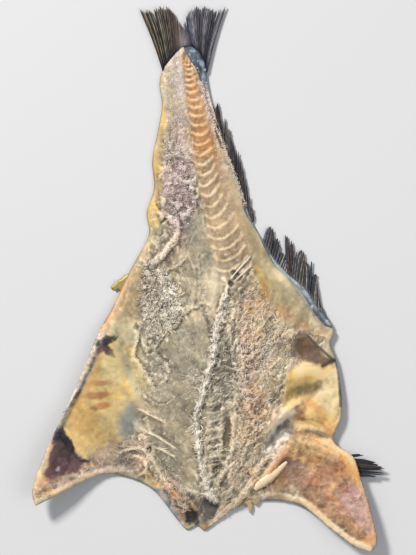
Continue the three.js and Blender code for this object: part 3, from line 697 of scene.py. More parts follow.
# Paint, laid on in this order. Regions: colour, softness in mm, strength, corners in pixels.
REGIONS = [
    ("strip", 9, 0.9, [(203, 75), (215, 110), (226, 150), (240, 190), (250, 215), (236, 226), (222, 200),
                       (212, 160), (204, 120), (196, 85)]),
    ("olive strip", 9, 0.9, [(236, 206), (250, 218), (270, 250), (285, 272), (270, 282), (256, 276),
     (246, 250)]),
    ("shoulder", 8, 0.9, [(262, 258), (285, 272), (325, 328), (308, 326), (284, 300), (266, 280)]),
    ("orange column", 7, 0.95, [(183, 50), (196, 80), (206, 104), (212, 130), (219, 158), (208, 170),
     (196, 165),
                                (190, 130), (184, 90)]),
    ("sand", 9, 0.95, [(196, 160), (216, 156), (224, 190), (240, 222), (250, 250), (244, 270), (228, 280),
                       (212, 268), (204, 225), (198, 190)]),
    ("pink white", 6, 0.95, [(163, 60), (183, 60), (187, 90), (190, 125), (178, 132), (166, 128),
     (161, 100)]),
    ("lilac white", 6, 0.9, [(164, 58), (176, 46), (184, 50), (186, 80), (185, 98), (176, 94), (164, 76)]),
    ("pink grey", 8, 0.9, [(166, 116), (186, 112), (192, 160), (186, 172), (164, 172)]),
    ("mauve", 8, 0.9, [(165, 160), (190, 158), (197, 205), (194, 224), (182, 240), (176, 225), (160, 195)]),
    ("grey loin", 8, 0.8, MID_FLESH),
    ("pink grey", 9, 0.5, [(168, 236), (184, 240), (182, 270), (168, 272), (160, 262)]),
    ("pale tan", 7, 0.9, [(140, 255), (158, 262), (150, 300), (140, 330), (118, 345), (100, 338),
     (104, 318),
                          (122, 285)]),
    ("membrane", 9, 0.8, [(150, 268), (184, 290), (186, 312), (166, 334), (154, 352), (140, 344),
     (142, 300)]),
    ("cream plate", 8, 0.85, CREAM_PLATE),
    ("warm loin", 10, 0.8, RIGHT_LOIN),
    ("membrane", 8, 0.6, BETWEEN_CRESTS),
    ("grey loin", 9, 0.75, [(188, 316), (206, 312), (212, 332), (206, 372), (190, 388), (172, 378),
     (170, 350)]),
    ("olive loin", 10, 0.8, [(176, 384), (200, 392), (194, 430), (196, 476), (182, 486), (160, 456),
     (150, 420)]),
    ("membrane", 8, 0.7, [(140, 350), (156, 350), (170, 366), (164, 384), (176, 392), (158, 402),
     (146, 384)]),
    ("cream bright", 7, 0.95, [(110, 320), (140, 322), (138, 350), (144, 372), (148, 392), (138, 390),
     (128, 368),
                              (116, 352), (106, 338)]),
    ("flap yellow", 7, 0.95, LEFT_FLAP),
    ("flap bright", 12, 0.9, [(98, 350), (114, 346), (124, 372), (116, 388), (100, 384)]),
    ("cream", 9, 0.8, [(122, 350), (138, 360), (146, 388), (138, 396), (128, 378)]),
    ("flap olive", 9, 0.55, [(106, 412), (124, 404), (126, 430), (112, 440), (98, 430)]),
    ("blue stain", 10, 0.75, [(126, 398), (142, 404), (144, 428), (130, 442), (118, 436), (120, 414)]),
    ("dusky", 8, 0.85, [(88, 450), (110, 442), (146, 440), (152, 474), (120, 478), (92, 472)]),
    ("collar", 6, 0.95, [(34, 500), (42, 470), (56, 440), (64, 444), (90, 464), (120, 474), (96, 484),
     (60, 496)]),
    ("maroon", 3.4, 0.97, [(59, 424), (66, 436), (74, 452), (88, 462), (76, 472), (52, 480), (45, 473),
     (48, 456)]),
    ("olive loin", 8, 0.5, [(184, 480), (206, 478), (206, 500), (192, 506), (184, 496)]),
    ("yellow fat", 4, 0.8, [(141, 474), (150, 468), (162, 478), (168, 490), (152, 487)]),
    ("flap orange", 3, 0.6, [(150, 478), (162, 482), (170, 492), (156, 488)]),
    ("pink grey", 4, 0.8, [(153, 462), (166, 472), (182, 488), (190, 496), (184, 501), (166, 486),
     (152, 474)]),
    ("rust", 2.4, 0.95, [(168, 487), (184, 495), (198, 508), (186, 511), (187, 531), (178, 517),
     (171, 502)]),
    ("shaded skin", 1.6, 0.95, [(150, 486), (162, 489), (170, 491), (175, 504), (180, 519), (187, 531),
     (176, 524),
                              (164, 508)]),
    ("black", 2.6, 0.95, [(55, 429), (63, 422), (69, 434), (74, 450), (66, 447), (60, 440), (52, 442)]),
    ("black", 1.8, 0.97, [(94, 341), (98, 336), (104, 337), (110, 335), (118, 334), (113, 340),
     (108, 344), (111, 350),
                          (113, 357), (106, 353), (100, 350), (92, 356)]),
    ("blue stain", 6, 0.5, [(120, 414), (136, 410), (144, 426), (134, 440), (120, 434)]),
    ("black", 2.5, 0.97, [(185, 510), (199, 509), (200, 523), (187, 528)]),
    ("dark slate", 3, 0.95, [(200, 497), (213, 497), (221, 504), (215, 521), (203, 526), (198, 512)]),
    ("rust", 2.5, 0.8, [(214, 522), (222, 508), (232, 500), (228, 512), (214, 527), (204, 530),
     (203, 524)]),
    ("pink grey", 7, 0.7, [(224, 470), (240, 452), (256, 450), (250, 480), (232, 496), (216, 500)]),
    ("olive dark", 8, 0.8, [(270, 284), (290, 286), (314, 308), (306, 326), (290, 326), (274, 312)]),
    ("shoulder", 8, 0.7, [(275, 345), (296, 350), (300, 366), (286, 380), (274, 372)]),
    ("plum", 2.8, 0.95, [(288.5, 341), (299, 334), (307, 335), (320, 348), (330, 358), (335, 361),
     (330, 365.5),
                         (320, 366.5), (312, 363.5), (301, 363.5), (296, 354)]),
    ("flap yellow", 6, 0.95, RIGHT_FLAP),
    ("lump pale", 7, 0.85, [(316, 378), (338, 368), (341, 400), (334, 414), (318, 406)]),
    ("cream loin", 8, 0.7, [(266, 322), (284, 318), (294, 338), (288, 352), (272, 352), (262, 338)]),
    ("cool grey", 8, 0.65, [(256, 348), (270, 342), (276, 356), (262, 376), (254, 368)]),
    ("olive loin", 8, 0.7, [(258, 372), (284, 362), (286, 392), (270, 408), (258, 396)]),
    ("grey loin", 8, 0.7, [(214, 346), (234, 338), (240, 370), (238, 396), (222, 404), (208, 396),
     (210, 372)]),
    ("pink loin", 8, 0.7, [(240, 292), (254, 296), (252, 330), (258, 380), (262, 412), (248, 416),
     (242, 380),
                           (238, 330)]),
    ("warm orange", 7, 0.8, [(248, 386), (260, 384), (264, 410), (254, 430), (248, 410)]),
    ("pale tan", 8, 0.5, [(232, 416), (250, 420), (256, 440), (240, 450), (230, 440)]),
    # Painted light over the valley, against the shade of its hollow.
    ("valley painted light", 5, 0.95, [(262, 452), (272, 430), (288, 414), (299, 405), (300, 412), (290, 424),
     (284, 444),
                              (270, 460)]),
    ("wing", 5, 0.97, RIGHT_WING),
    ("wing gold", 9, 0.8, [(292, 440), (312, 438), (336, 452), (334, 466), (308, 464), (290, 458)]),
    ("wing purple", 7, 0.8, [(286, 464), (304, 468), (316, 482), (310, 496), (290, 486), (280, 474)]),
    ("wing lilac", 7, 0.85, [(336, 490), (350, 482), (366, 486), (371, 510), (371, 532), (358, 528),
     (342, 512)]),
    ("brown", 4, 0.7, [(268, 492), (288, 486), (300, 500), (304, 506), (280, 504), (264, 500)]),
]
# Strokes: colour, half width in mm, strength, raggedness, line in pixels.
STROKES = [
    ("yellow tan", 11.0, 0.9, 1.2, [(163, 70), (161, 90), (160, 120), (159, 140), (157, 160), (156, 178),
                                    (157, 195), (156, 216), (148, 232), (141, 250), (129, 275)]),
    ("yellow fat", 7.0, 0.95, 1.2, [(161, 108), (160, 140), (158, 160), (157, 178),
                                    (157, 195), (154, 216), (147, 228), (139, 250), (128, 275)]),
    ("flap orange", 4.0, 0.7, 1.0, [(160, 66), (159, 76), (158, 84)]),
    ("edge orange", 4.0, 0.7, 1.2, [(152, 176), (152, 190), (150, 202)]),
    ("green fat", 6.0, 0.85, 0.8, [(150, 206), (148, 214), (151, 222)]),
    ("green fat", 3.0, 0.8, 0.8, [(146, 226), (140, 242), (131, 262)]),
    ("edge orange", 7.0, 0.85, 1.2, [(130, 272), (118, 294), (107, 314), (100, 332)]),
    ("pale tan", 3.0, 0.7, 0.8, [(133, 282), (124, 300), (114, 318)]),
    ("yellow tan", 8.0, 0.75, 1.0, [(148, 234), (138, 256), (127, 280)]),
    ("warm orange", 6.0, 0.7, 1.0, [(122, 286), (112, 308), (105, 326)]),
    ("yellow tan", 14.0, 0.5, 1.2, [(268, 280), (284, 304), (300, 324)]),
    ("rust", 1.8, 0.6, 0.8, [(183, 50), (184, 62), (186, 80), (188, 100)]),
    ("pink white", 5.0, 0.9, 1.0, [(200, 84), (205, 102), (210, 122), (218, 142)]),
    ("sinew", 2.0, 0.9, 1.2, [(201, 82), (205.5, 101.5), (213, 121.4), (218, 130.5), (222, 140), (228, 158),
                              (234.6, 172.6)]),
    ("sinew", 1.3, 0.5, 1.2, [(234.6, 172.6), (242, 196), (250, 220), (264, 244)]),
    ("brown", 1.8, 0.5, 0.8, [(189, 100), (193, 130), (197, 165), (205, 200), (212, 232)]),
    ("wing red", 6.0, 0.5, 1.0, [(188, 62), (198, 86), (206, 112), (214, 140)]),
    ("flap orange", 5.0, 0.35, 1.0, [(216, 110), (224, 140), (234, 165)]),
    ("white", 4.2, 1.0, 1.0, [(224, 302), (218, 326), (213, 353), (204, 390), (197.5, 416),
     (197.5, 438), (202, 461),
                              (205, 484), (214.5, 497.5)]),
    ("cream loin", 5.0, 0.7, 1.5, [(226, 284), (220, 306), (214, 334)]),
    ("pink loin", 9.0, 0.6, 1.5, [(244, 306), (243, 345), (247, 380), (254, 410)]),
    ("sinew", 2.6, 0.35, 1.9, [(242, 330), (244, 362), (245, 396), (253, 428)]),
    ("pink brown", 9.0, 0.6, 1.6, [(240, 292), (244, 306), (240, 328)]),
    # Painted shadow beside the fold of the flap.
    ("pink brown", 7.0, 0.6, 1.5, [(181, 230), (177, 248), (168, 262)]),
    ("pink bright", 5.0, 0.95, 1.0, FOLD_FLAP_LINE),
    ("rust", 1.6, 0.8, 0.5, [(162, 208), (166, 219), (170, 226)]),
    ("deep loin", 5.0, 0.5, 1.0, [(180, 226), (180, 238), (172, 252), (164, 262)]),
    ("skin grey", 5.0, 0.95, 1.0, [(292, 279), (300, 290), (309, 304), (319, 319), (326, 328)]),
    ("green fat", 4.0, 0.8, 0.8, [(150, 226), (140, 244), (131, 262), (122, 276)]),
    ("orange column", 7.0, 0.8, 0.8, [(185, 58), (189, 72), (193, 88)]),
    ("rim", 6.4, 0.95, 0.8, [(99, 336), (94, 354), (88, 372), (80, 388)]),
    ("rim", 4.0, 0.95, 0.8, [(82, 384), (72, 400), (64, 416), (57, 428)]),
    ("flap orange", 5.0, 0.6, 0.8, [(101, 352), (96, 368), (88, 386), (76, 406)]),
    ("dark slate", 1.6, 0.6, 0.8, [(96, 338), (88, 360), (76, 386), (62, 412)]),
    ("black", 2.4, 0.95, 0.9, [(80, 391), (72, 403), (63, 419), (56, 430), (62, 436), (68, 440), (72, 451),
                               (80, 460), (89, 462)]),
    ("black", 4.6, 0.95, 0.9, [(60, 430), (66, 438), (71, 450)]),
    ("black", 5.0, 0.97, 1.2, [(98, 344), (104, 343), (109, 342)]),
    ("black", 2.8, 0.95, 0.8, [(106, 346), (111, 352), (112, 355)]),
    ("black", 1.2, 0.9, 0.6, [(110, 340), (116, 337)]),
    ("maroon", 4.0, 0.9, 0.8, [(98, 351), (104, 349), (109, 352)]),
    ("flap bright", 1.6, 0.7, 0.6, [(90, 389), (104, 387), (118, 388)]),
    ("flap bright", 1.2, 0.6, 1.0, [(92, 401), (104, 400), (117, 401)]),
    ("pale blue", 4.5, 0.6, 1.0, [(119, 344), (124, 362), (131, 380), (138, 398)]),
    ("sinew", 0.8, 0.6, 1.0, UPPER_RIB),
    ("sinew", 1.0, 0.65, 1.0, MIDDLE_RIB),
    ("sinew", 0.9, 0.6, 1.0, LOWER_RIB),
    ("sinew", 0.8, 0.5, 1.0, [(140, 389), (147, 395)]),
    ("sinew", 0.8, 0.5, 1.0, [(150, 393), (160, 403)]),
    ("sinew", 1.4, 0.6, 1.4, [(119, 453), (138, 448), (147, 454), (148, 462)]),
    ("brown", 7.0, 0.3, 1.2, [(126, 464), (136, 468)]),
    ("rim", 1.6, 0.35, 1.6, [(127, 455), (142, 459), (146, 470), (136, 478), (115, 476), (95, 474)]),
    ("rust", 1.6, 0.75, 0.8, [(38, 493), (52, 488), (74, 479), (97, 471)]),
    ("ivory", 4.0, 0.9, 0.6, [(36, 501), (46, 497), (70, 486), (95, 477)]),
    ("flap orange", 2.4, 0.6, 0.8, [(38, 484), (44, 464), (52, 446)]),
    ("rim", 3.0, 0.8, 1.2, [(52, 486), (70, 478), (92, 470), (112, 474)]),
    ("ivory", 2.0, 0.7, 0.8, [(156, 466), (168, 478), (182, 492)]),
    ("sinew", 2.4, 0.8, 1.0, [(178, 484), (188, 490), (199, 492)]),
    ("white", 1.1, 0.95, 0.2, LONG_SPLINTER),
    ("white", 1.0, 0.95, 0.2, SHORT_SPLINTER),
    ("lump yellow", 7.0, 0.8, 1.5, [(256, 270), (262, 282), (266, 292), (258, 304), (248, 310)]),
    ("edge orange", 5.0, 0.5, 1.5, [(262, 284), (266, 296), (262, 304)]),
    ("rust", 8.0, 0.55, 1.5, [(282, 312), (292, 318), (302, 328)]),
    ("brown", 9.0, 0.6, 0.8, [(262, 487), (274, 481), (290, 468)]),
    ("ivory", 3.6, 0.85, 1.2, [(213, 524), (228, 507), (245, 491), (256, 471)]),
    ("pale blue", 3.0, 0.35, 1.2, [(240, 480), (252, 462), (268, 444), (282, 424)]),
    ("bone", 3.0, 0.8, 0.8, [(292, 487), (305, 503), (320, 518), (343, 533), (369, 548)]),
    ("flap orange", 6.0, 0.6, 1.0, [(304, 436), (320, 440), (336, 450), (350, 460), (356, 474),
     (362, 488)]),
    ("wing red", 8.0, 0.75, 1.6, [(312, 462), (328, 472), (344, 486)]),
    ("wing red", 9.0, 0.75, 1.4, [(300, 474), (318, 490), (336, 508)]),
    ("wing orange", 4.0, 0.5, 1.4, [(304, 456), (322, 462), (340, 476)]),
    ("brown", 3.0, 0.4, 1.4, [(310, 486), (330, 506), (350, 526)]),
    ("wing red", 3.0, 0.6, 1.0, [(346, 486), (340, 500), (352, 520)]),
    ("violet", 5.0, 0.8, 1.0, [(286, 463), (298, 464), (306, 470)]),
    ("violet", 5.0, 0.55, 1.3, [(304, 470), (310, 486), (322, 500)]),
    ("wing orange", 3.0, 0.6, 0.8, [(366, 496), (372, 520), (371, 540), (360, 540)]),
    ("cream", 3.0, 0.6, 0.8, [(284, 448), (296, 440), (306, 436)]),
    ("brown", 1.4, 0.5, 0.8, [(288, 487), (302, 499), (318, 512)]),
    ("black", 1.8, 0.95, 0.4, [(289, 341), (299, 334), (307, 335), (320, 348), (335, 361)]),
    ("black", 2.2, 0.95, 0.4, [(322, 366), (335, 361), (339, 380), (340.5, 406)]),
    ("violet", 1.4, 0.8, 0.6, [(290, 343), (296, 354), (301, 363)]),
    # Painted highlight on the lit top of the lump. The lump shadow stroke below paints the shadow under it.
    ("lump highlight", 6.5, 0.95, 0.8, [(296, 373), (306, 369), (316, 372), (321, 378)]),
    ("lump yellow", 7.0, 0.8, 1.0, [(290, 376), (288, 390)]),
    ("edge orange", 2.4, 0.4, 1.2, [(300, 380), (310, 378), (318, 380)]),
    ("lump shadow", 6.0, 0.6, 1.2, [(300, 392), (310, 389), (319, 384)]),
    ("burnt", 5.0, 0.6, 1.2, [(302, 404), (303, 412), (298, 419)]),
    ("edge orange", 7.0, 0.6, 1.0, [(310, 404), (320, 410), (322, 420), (334, 432)]),
    ("cream loin", 3.0, 0.6, 1.2, [(284, 412), (292, 406), (300, 402)]),
    ("burnt", 1.2, 0.5, 1.0, [(298, 420), (308, 420), (318, 422), (331, 431)]),
    ("wing orange", 5.0, 0.9, 1.0, [(303, 426), (314, 427), (326, 432), (338, 442)]),
    ("burnt", 5.0, 0.9, 1.2, [(297, 409), (300, 414), (303, 419)]),
    # Painted highlight along the shoulder ridge.
    ("lump highlight", 4.0, 0.95, 0.8, [(298, 427), (310, 428), (320, 431), (332, 439), (343, 449), (354, 461)]),
    ("dark slate", 1.8, 0.8, 0.6, [(341, 476), (346, 482)]),
]
# Blots: colour, centre and half sizes in pixels, turn in degrees, strength.
BLOTS = [
    ("stain", 95, 396, 10, 4.0, -5, 0.6), ("stain", 105, 395, 8, 3.4, -12, 0.55),
    ("stain", 101, 406.5, 10, 3.6, -6, 0.7), ("stain", 104, 383, 9, 3.4, -8, 0.4),
    ("stain", 99, 383, 8, 3.0, 0, 0.35), ("flap bright", 112, 366, 10, 14, 20, 0.5),
    # The pit blots on this line and the next are painted shade in the two deep pits.
    ("flap bright", 106, 418, 8, 6, 10, 0.5), ("pit shade", 227, 432, 3.4, 15, 4, 0.4),
    ("pit shade", 221, 474, 5.0, 13, -24, 0.5), ("rust", 180, 505, 5, 9, -25, 0.6),
    ("black", 230.8, 283, 2.8, 3.0, 0, 0.85), ("dark slate", 237, 274, 2.4, 7, -42, 0.8),
    # The pit blot on this line is painted shade in a small hole.
    ("pit shade", 149.5, 450, 2.2, 4.5, 15, 0.9), ("dark slate", 279, 427, 2.0, 4, 40, 0.5),
    ("dark slate", 272, 441, 2.0, 4, 40, 0.5), ("black", 137, 328, 1.9, 3.6, 0, 0.9),
    ("dark slate", 130, 314, 1.6, 3.4, -40, 0.5), ("brown", 290, 315, 4, 2.6, 0, 0.6),
    ("black", 251, 492, 10, 2.4, 18, 0.6), ("rim", 58, 469, 2.6, 2.0, -20, 0.7),
    ("maroon dark", 66, 452, 6, 9, 20, 0.6), ("olive dark", 162, 462, 14, 14, 0, 0.7),
    ("burnt", 179, 507, 5, 11, -22, 0.7), ("wing red", 326, 474, 18, 10, -36, 0.85),
    ("flap bright", 304, 446, 10, 5, -10, 0.35), ("wing red", 312, 484, 9, 8, 0, 0.4),
    # The lump blot is a painted highlight on the shoulder ridge.
    ("lump highlight", 338, 446, 9, 4, -38, 0.4), ("blue stain", 128, 424, 7, 8, 0, 0.5),
    ("flap orange", 84, 420, 14, 17, 20, 0.45), ("stain", 100, 436, 6, 4, 0, 0.3),
    ("burnt", 304, 345, 3, 4, 0, 0.3), ("dark slate", 262, 440, 3, 2, 30, 0.4),
    ("mauve", 234, 262, 4, 3, 0, 0.5), ("mauve", 238, 246, 3.5, 3, 0, 0.5),
    ("dark slate", 242, 240, 2, 2, 0, 0.4),
]


def linear(colour):
    """A colour of 0 to 255 as linear light."""
    c = np.asarray(colour, float) / 255
    return np.where(c <= 0.04045, c / 12.92, ((c + 0.055) / 1.055) ** 2.4)


def plain_tint(x, colour):
    """One colour at every point."""
    return np.ones(x.shape + (3,)) * linear(colour)


def mix_into(tint, colour, share):
    """Lays a share of a colour over the painted points."""
    tint[...] = tint + (linear(colour) - tint) * np.clip(share, 0, 1)[..., None]


COLOUR_STRENGTH = 1.1
BRIGHTEST = 0.93
DARKEST = 0.004


def flesh_paint(plan, height, fields):
    """The flesh's colour at each point: regions, strokes and blots, then specks and shade by relief."""
    x, y = plan.x, plan.y
    warp = (rough(x, y, 14, 101) * 5.0 + rough(x, y, 4, 103, 2) * 2.0,
            rough(x, y, 14, 107) * 5.0 + rough(x, y, 4, 109, 2) * 2.0)
    loose = rough(x, y, 5, 111, 3)
    tint = plain_tint(x, COLOURS["khaki"])

    def mix(name, share):
        mix_into(tint, COLOURS[name], share)
    for name, softness, strength, corners in REGIONS:
        depth = polygon_depth(x + warp[0], y + warp[1], np.array(to_mm(corners)), softness * 2)
        mix(name, strength * unit_steps(-softness, softness, depth + loose * softness * 0.8))
    for name, half_width, strength, ragged, line in STROKES:
        gap, place, _ = near_line(x + warp[0] * ragged * 0.3, y + warp[1] * ragged * 0.3,
                                  spline(to_mm(line), 5), half_width * 3)
        reach = half_width * (1 + 0.35 * min(ragged, 1.5) * loose * 1.6)
        mix(name, strength * (1 - unit_steps(0.4, 1.4, gap / np.maximum(reach, 0.2)))
            * np.clip(1 + 0.6 * min(ragged, 1.5) * noise(x, y, 4, 113), 0.3, 1))
    for name, px, py, half_x, half_y, turn, strength in BLOTS:
        gap = from_oval(x + warp[0] * 0.4, y + warp[1] * 0.4, px, py, half_x, half_y, turn)
        mix(name, strength * (1 - unit_steps(0.6, 1.3, gap + 0.25 * loose)))
    mix("arc gap", fields["column"] * (0.12 + 0.42 * unit_steps(60, 200, y) + 0.12 * loose)
        * (1 - unit_steps(0.1, 0.5, fields["arcs"])))
    mix("arc light", fields["arcs"] * 0.38)
    mix("sinew", 0.5 * fields["ledge_top"])
    # Painted shade at the feet of the torn steps.
    mix("pit shade", 0.3 * fields["ledge_shade"])
    busy = np.clip(fields["torn"] * 1.2, 0.15, 1)
    rich = np.maximum(fields["granular"], fields["tufts"])
    loin = np.clip(fields["torn"] * 3, 0, 1) * (1 - fields["column"] * 0.6) * (1 - fields["granular"] * 0.8)
    warm, cool = rough(x, y, 26, 141), rough(x, y, 11, 143)
    right = unit_steps(20, 60, x) * unit_steps(-10, -40, y)
    mix("cream loin", 1.1 * np.clip(warm, 0, 0.7) * loin)
    mix("grey loin", 1.0 * np.clip(-warm, 0, 0.7) * loin * (1 - right))
    mix("pink loin", (0.3 + 0.3 * right) * np.clip(cool, 0, 1) * loin)
    mix("warm orange", 0.8 * right * np.clip(rough(x, y, 16, 144), 0, 1) * loin)
    mix("olive strip", 0.45 * np.clip(-cool, 0, 1) * loin)
    open_flesh = 1 - fields["column"]
    smooth_share = np.clip(1.1 - fields["shaggy"], 0, 1) * loin * open_flesh
    mix("grey loin", 0.45 * smooth_share * (1 - 0.4 * right))
    mix("sinew", 0.35 * fields["lines"] * open_flesh)
    mix("sinew", 0.16 * busy * np.clip(fields["ropes"], 0, 1) * open_flesh)
    mix("cream loin", 0.1 * busy * fields["hairs"] * open_flesh)
    # Painted highlight on the lips of the torn sheets, then painted shade at their feet.
    mix("sinew", 0.4 * fields["lit_lips"] * open_flesh)
    mix("deep loin", 0.55 * fields["shaded_feet"] * open_flesh)
    mix("white", (0.6 * dots(x, y, 2.4, 121, 0.035) + 0.45 * dots(x, y, 4.5, 123, 0.05, 0.3)) * busy)
    patches = rough(x, y, 12, 135)
    mix("lilac white", fields["granular"] * 0.6 * np.clip(patches * 1.6, 0, 1))
    mix("mauve dark", fields["granular"] * 0.4 * np.clip(-patches * 1.6, 0, 1))
    mix("white", fields["tufts"] * 0.5 * fields["clumps"])
    mix("deep loin", fields["tufts"] * 0.35 * (1 - fields["clumps"]))
    mix("lilac white", fields["granular"] * 0.4 * fields["crumbs"])
    mix("mauve dark", fields["granular"] * 0.3 * (1 - fields["crumbs"]))
    mix("white", rich * 0.5 * dots(x, y, 3.6, 125, 0.08, 0.2))
    mix("deep loin", 0.5 * busy * dots(x, y, 3.4, 127, 0.06, 0.3))
    mix("mauve dark", fields["granular"] * 0.6 * dots(x, y, 4.4, 129, 0.1, 0.2) * unit_steps(200, 150, y))
    gap, _, _ = near_line(x + warp[0] * 0.25, y + warp[1] * 0.25, spline(MIDDLE_CREST, 5), 9)
    mix("sinew", 0.95 * np.exp(-np.square(gap / 3.4)) * np.clip(1.0 + noise(x, y, 4, 139), 0.5, 1)
        * unit_steps(0, -30, y))
    near, wide = height - blurred(height, 2), height - blurred(height, 7)
    light = 1 + 0.55 * np.clip(near / 0.55, -1, 1) + 0.24 * np.clip(wide / 1.6, -0.8, 1)
    light += 0.1 * fields["fibres"] * busy + 0.1 * rough(x, y, 5, 131)
    light += 0.2 * busy * np.clip(fields["ropes"], -1, 1)
    broad = 0.16 * fields["coarse"] + 0.32 * rough(x, y, 11, 137) + 0.24 * rough(x, y, 27, 138)
    light += np.maximum(busy, 0.8) * broad
    tint *= np.clip(light, 0.35, 1.7)[..., None]
    grey = tint.mean(axis=2, keepdims=True)
    tint = np.maximum(grey + (tint - grey) * COLOUR_STRENGTH, DARKEST)
    return tint * np.minimum(1, BRIGHTEST / tint.max(axis=2, keepdims=True))


# Each side of a cell: the neighbour across it, and the two corners in order.
CELL_SIDES = (
    ((0, -1), (0, 0), (1, 0)), ((1, 0), (1, 0), (1, 1)), ((0, 1), (1, 1), (0, 1)), ((-1, 0), (0, 1),
     (0, 0)),
)
SNAP_BATCH = 400


def kept_cells(plan, outline):
    """The cells inside an outline, without spikes and without cells that meet only at a corner."""
    half = plan.step / 2
    kept = inside(plan.x[:-1, :-1] + half, plan.y[:-1, :-1] + half, outline)
    for _ in range(4):
        padded = np.pad(kept, 1)
        sides = padded[:-2, 1:-1].astype(int) + padded[2:, 1:-1] + padded[1:-1, :-2] + padded[1:-1, 2:]
        kept &= sides >= 2
        a, b, c, d = kept[:-1, :-1], kept[1:, :-1], kept[:-1, 1:], kept[1:, 1:]
        crossed = (a & d & ~b & ~c) | (b & c & ~a & ~d)
        for i, j in np.argwhere(crossed):
            kept[i:i + 2, j:j + 2] = True
    return kept


def snapped(plan, outline, border):
    """The grid's places, with those on the border moved onto the outline."""
    x, y = plan.x.copy(), plan.y.copy()
    dense = spline(np.vstack([outline, outline[:1]]), 6)
    px, py = x[border], y[border]
    for start in range(0, len(px), SNAP_BATCH):
        part = slice(start, start + SNAP_BATCH)
        gaps = np.hypot(px[part, None] - dense[None, :, 0], py[part, None] - dense[None, :, 1])
        best = gaps.argmin(axis=1)
        near = gaps.min(axis=1) < plan.step * 1.5
        px[part] = np.where(near, dense[best, 0], px[part])
        py[part] = np.where(near, dense[best, 1], py[part])
    x[border], y[border] = px, py
    return x, y


def rim_loop(kept, number):
    """The numbers of the points around the kept cells: the longest closed loop of them."""
    follow = {}
    padded = np.pad(kept, 1)
    for (di, dj), a, b in CELL_SIDES:
        other = padded[1 + di:padded.shape[0] - 1 + di, 1 + dj:padded.shape[1] - 1 + dj]
        for ci, cj in np.argwhere(kept & ~other):
            follow[number[ci + a[0], cj + a[1]]] = number[ci + b[0], cj + b[1]]
    loops = []
    while follow:
        first, here = follow.popitem()
        loop = [first]
        while here != first:
            loop.append(here)
            here = follow.pop(here)
        loops.append(loop)
    return max(loops, key=len)


def wide_triangles(rim, outline, step):
    """Triangles over the inside of a rim: their points, faces, and where each rim point is among them."""
    gx, gy = np.meshgrid(np.arange(-HALF_WIDTH, HALF_WIDTH, step), np.arange(-HALF_LENGTH, HALF_LENGTH, step),
                         indexing="ij")
    gx, gy = gx.ravel(), gy.ravel()
    deep = polygon_depth(gx, gy, outline, 8.0) > 3.5
    points = [Vector(p) for p in rim] + [Vector(p) for p in zip(gx[deep], gy[deep])]
    edges = [(k, (k + 1) % len(rim)) for k in range(len(rim))]
    verts, _, faces, origins, _, _ = delaunay_2d_cdt(points, edges, [], 1, 1e-5)
    at = {source: v for v, sources in enumerate(origins) for source in sources if source < len(rim)}
    return np.array([tuple(v) for v in verts]), faces, at


def sheet_mesh(name, outline, plan, top, bottom, tint, fine="top"):
    """A closed sheet over an outline, with square cells on its fine face and wide triangles on the other."""
    near_z, far_z, step = (top, bottom, 6.0) if fine == "top" else (bottom, top, 4.0)
    kept = kept_cells(plan, outline)
    used = np.zeros(plan.x.shape, int)
    for corner in (used[:-1, :-1], used[1:, :-1], used[:-1, 1:], used[1:, 1:]):
        corner += kept
    x, y = snapped(plan, outline, (used > 0) & (used < 4))
    number = np.full(used.shape, -1)
    number[used > 0] = np.arange((used > 0).sum())
    positions = np.stack([x[used > 0], y[used > 0], near_z[used > 0]], axis=1)
    i, j = np.nonzero(kept)
    corners = (number[i, j], number[i + 1, j], number[i + 1, j + 1], number[i, j + 1])
    faces = np.stack(corners, axis=1).tolist()
    loop = rim_loop(kept, number)
    plain, triangles, at = wide_triangles(positions[loop][:, :2], outline, step)
    ci = np.clip(np.round((plain[:, 0] - plan.x[0, 0]) / plan.step).astype(int), 0, used.shape[0] - 1)
    cj = np.clip(np.round((plain[:, 1] - plan.y[0, 0]) / plan.step).astype(int), 0, used.shape[1] - 1)
    base = len(positions)
    positions = np.vstack([positions, np.column_stack([plain, far_z[ci, cj]])])
    colours = np.vstack([tint[used > 0], tint[ci, cj]])
    faces += [[base + v for v in reversed(triangle)] for triangle in triangles]
    for k in range(len(loop)):
        m = (k + 1) % len(loop)
        faces.append([loop[k], base + at[k], base + at[m], loop[m]])
    if fine == "bottom":
        faces = [face[::-1] for face in faces]
    return mesh_piece(name, positions, faces, colours)


def mesh_piece(name, positions, faces, colours=None, smooth=True):
    """A mesh object from millimetre positions, with a colour for each point."""
    mesh = bpy.data.meshes.new(name)
    mesh.from_pydata((np.asarray(positions) * METRES).tolist(), [], faces)
    if colours is not None:
        layer = mesh.attributes.new("Tint", "FLOAT_COLOR", "POINT")
        rgba = np.ones((len(positions), 4), np.float32)
        rgba[:, :3] = colours
        layer.data.foreach_set("color", rgba.ravel())
    mesh.polygons.foreach_set("use_smooth", [smooth] * len(mesh.polygons))
    mesh.update()
    piece = bpy.data.objects.new(name, mesh)
    bpy.context.scene.collection.objects.link(piece)
    return piece


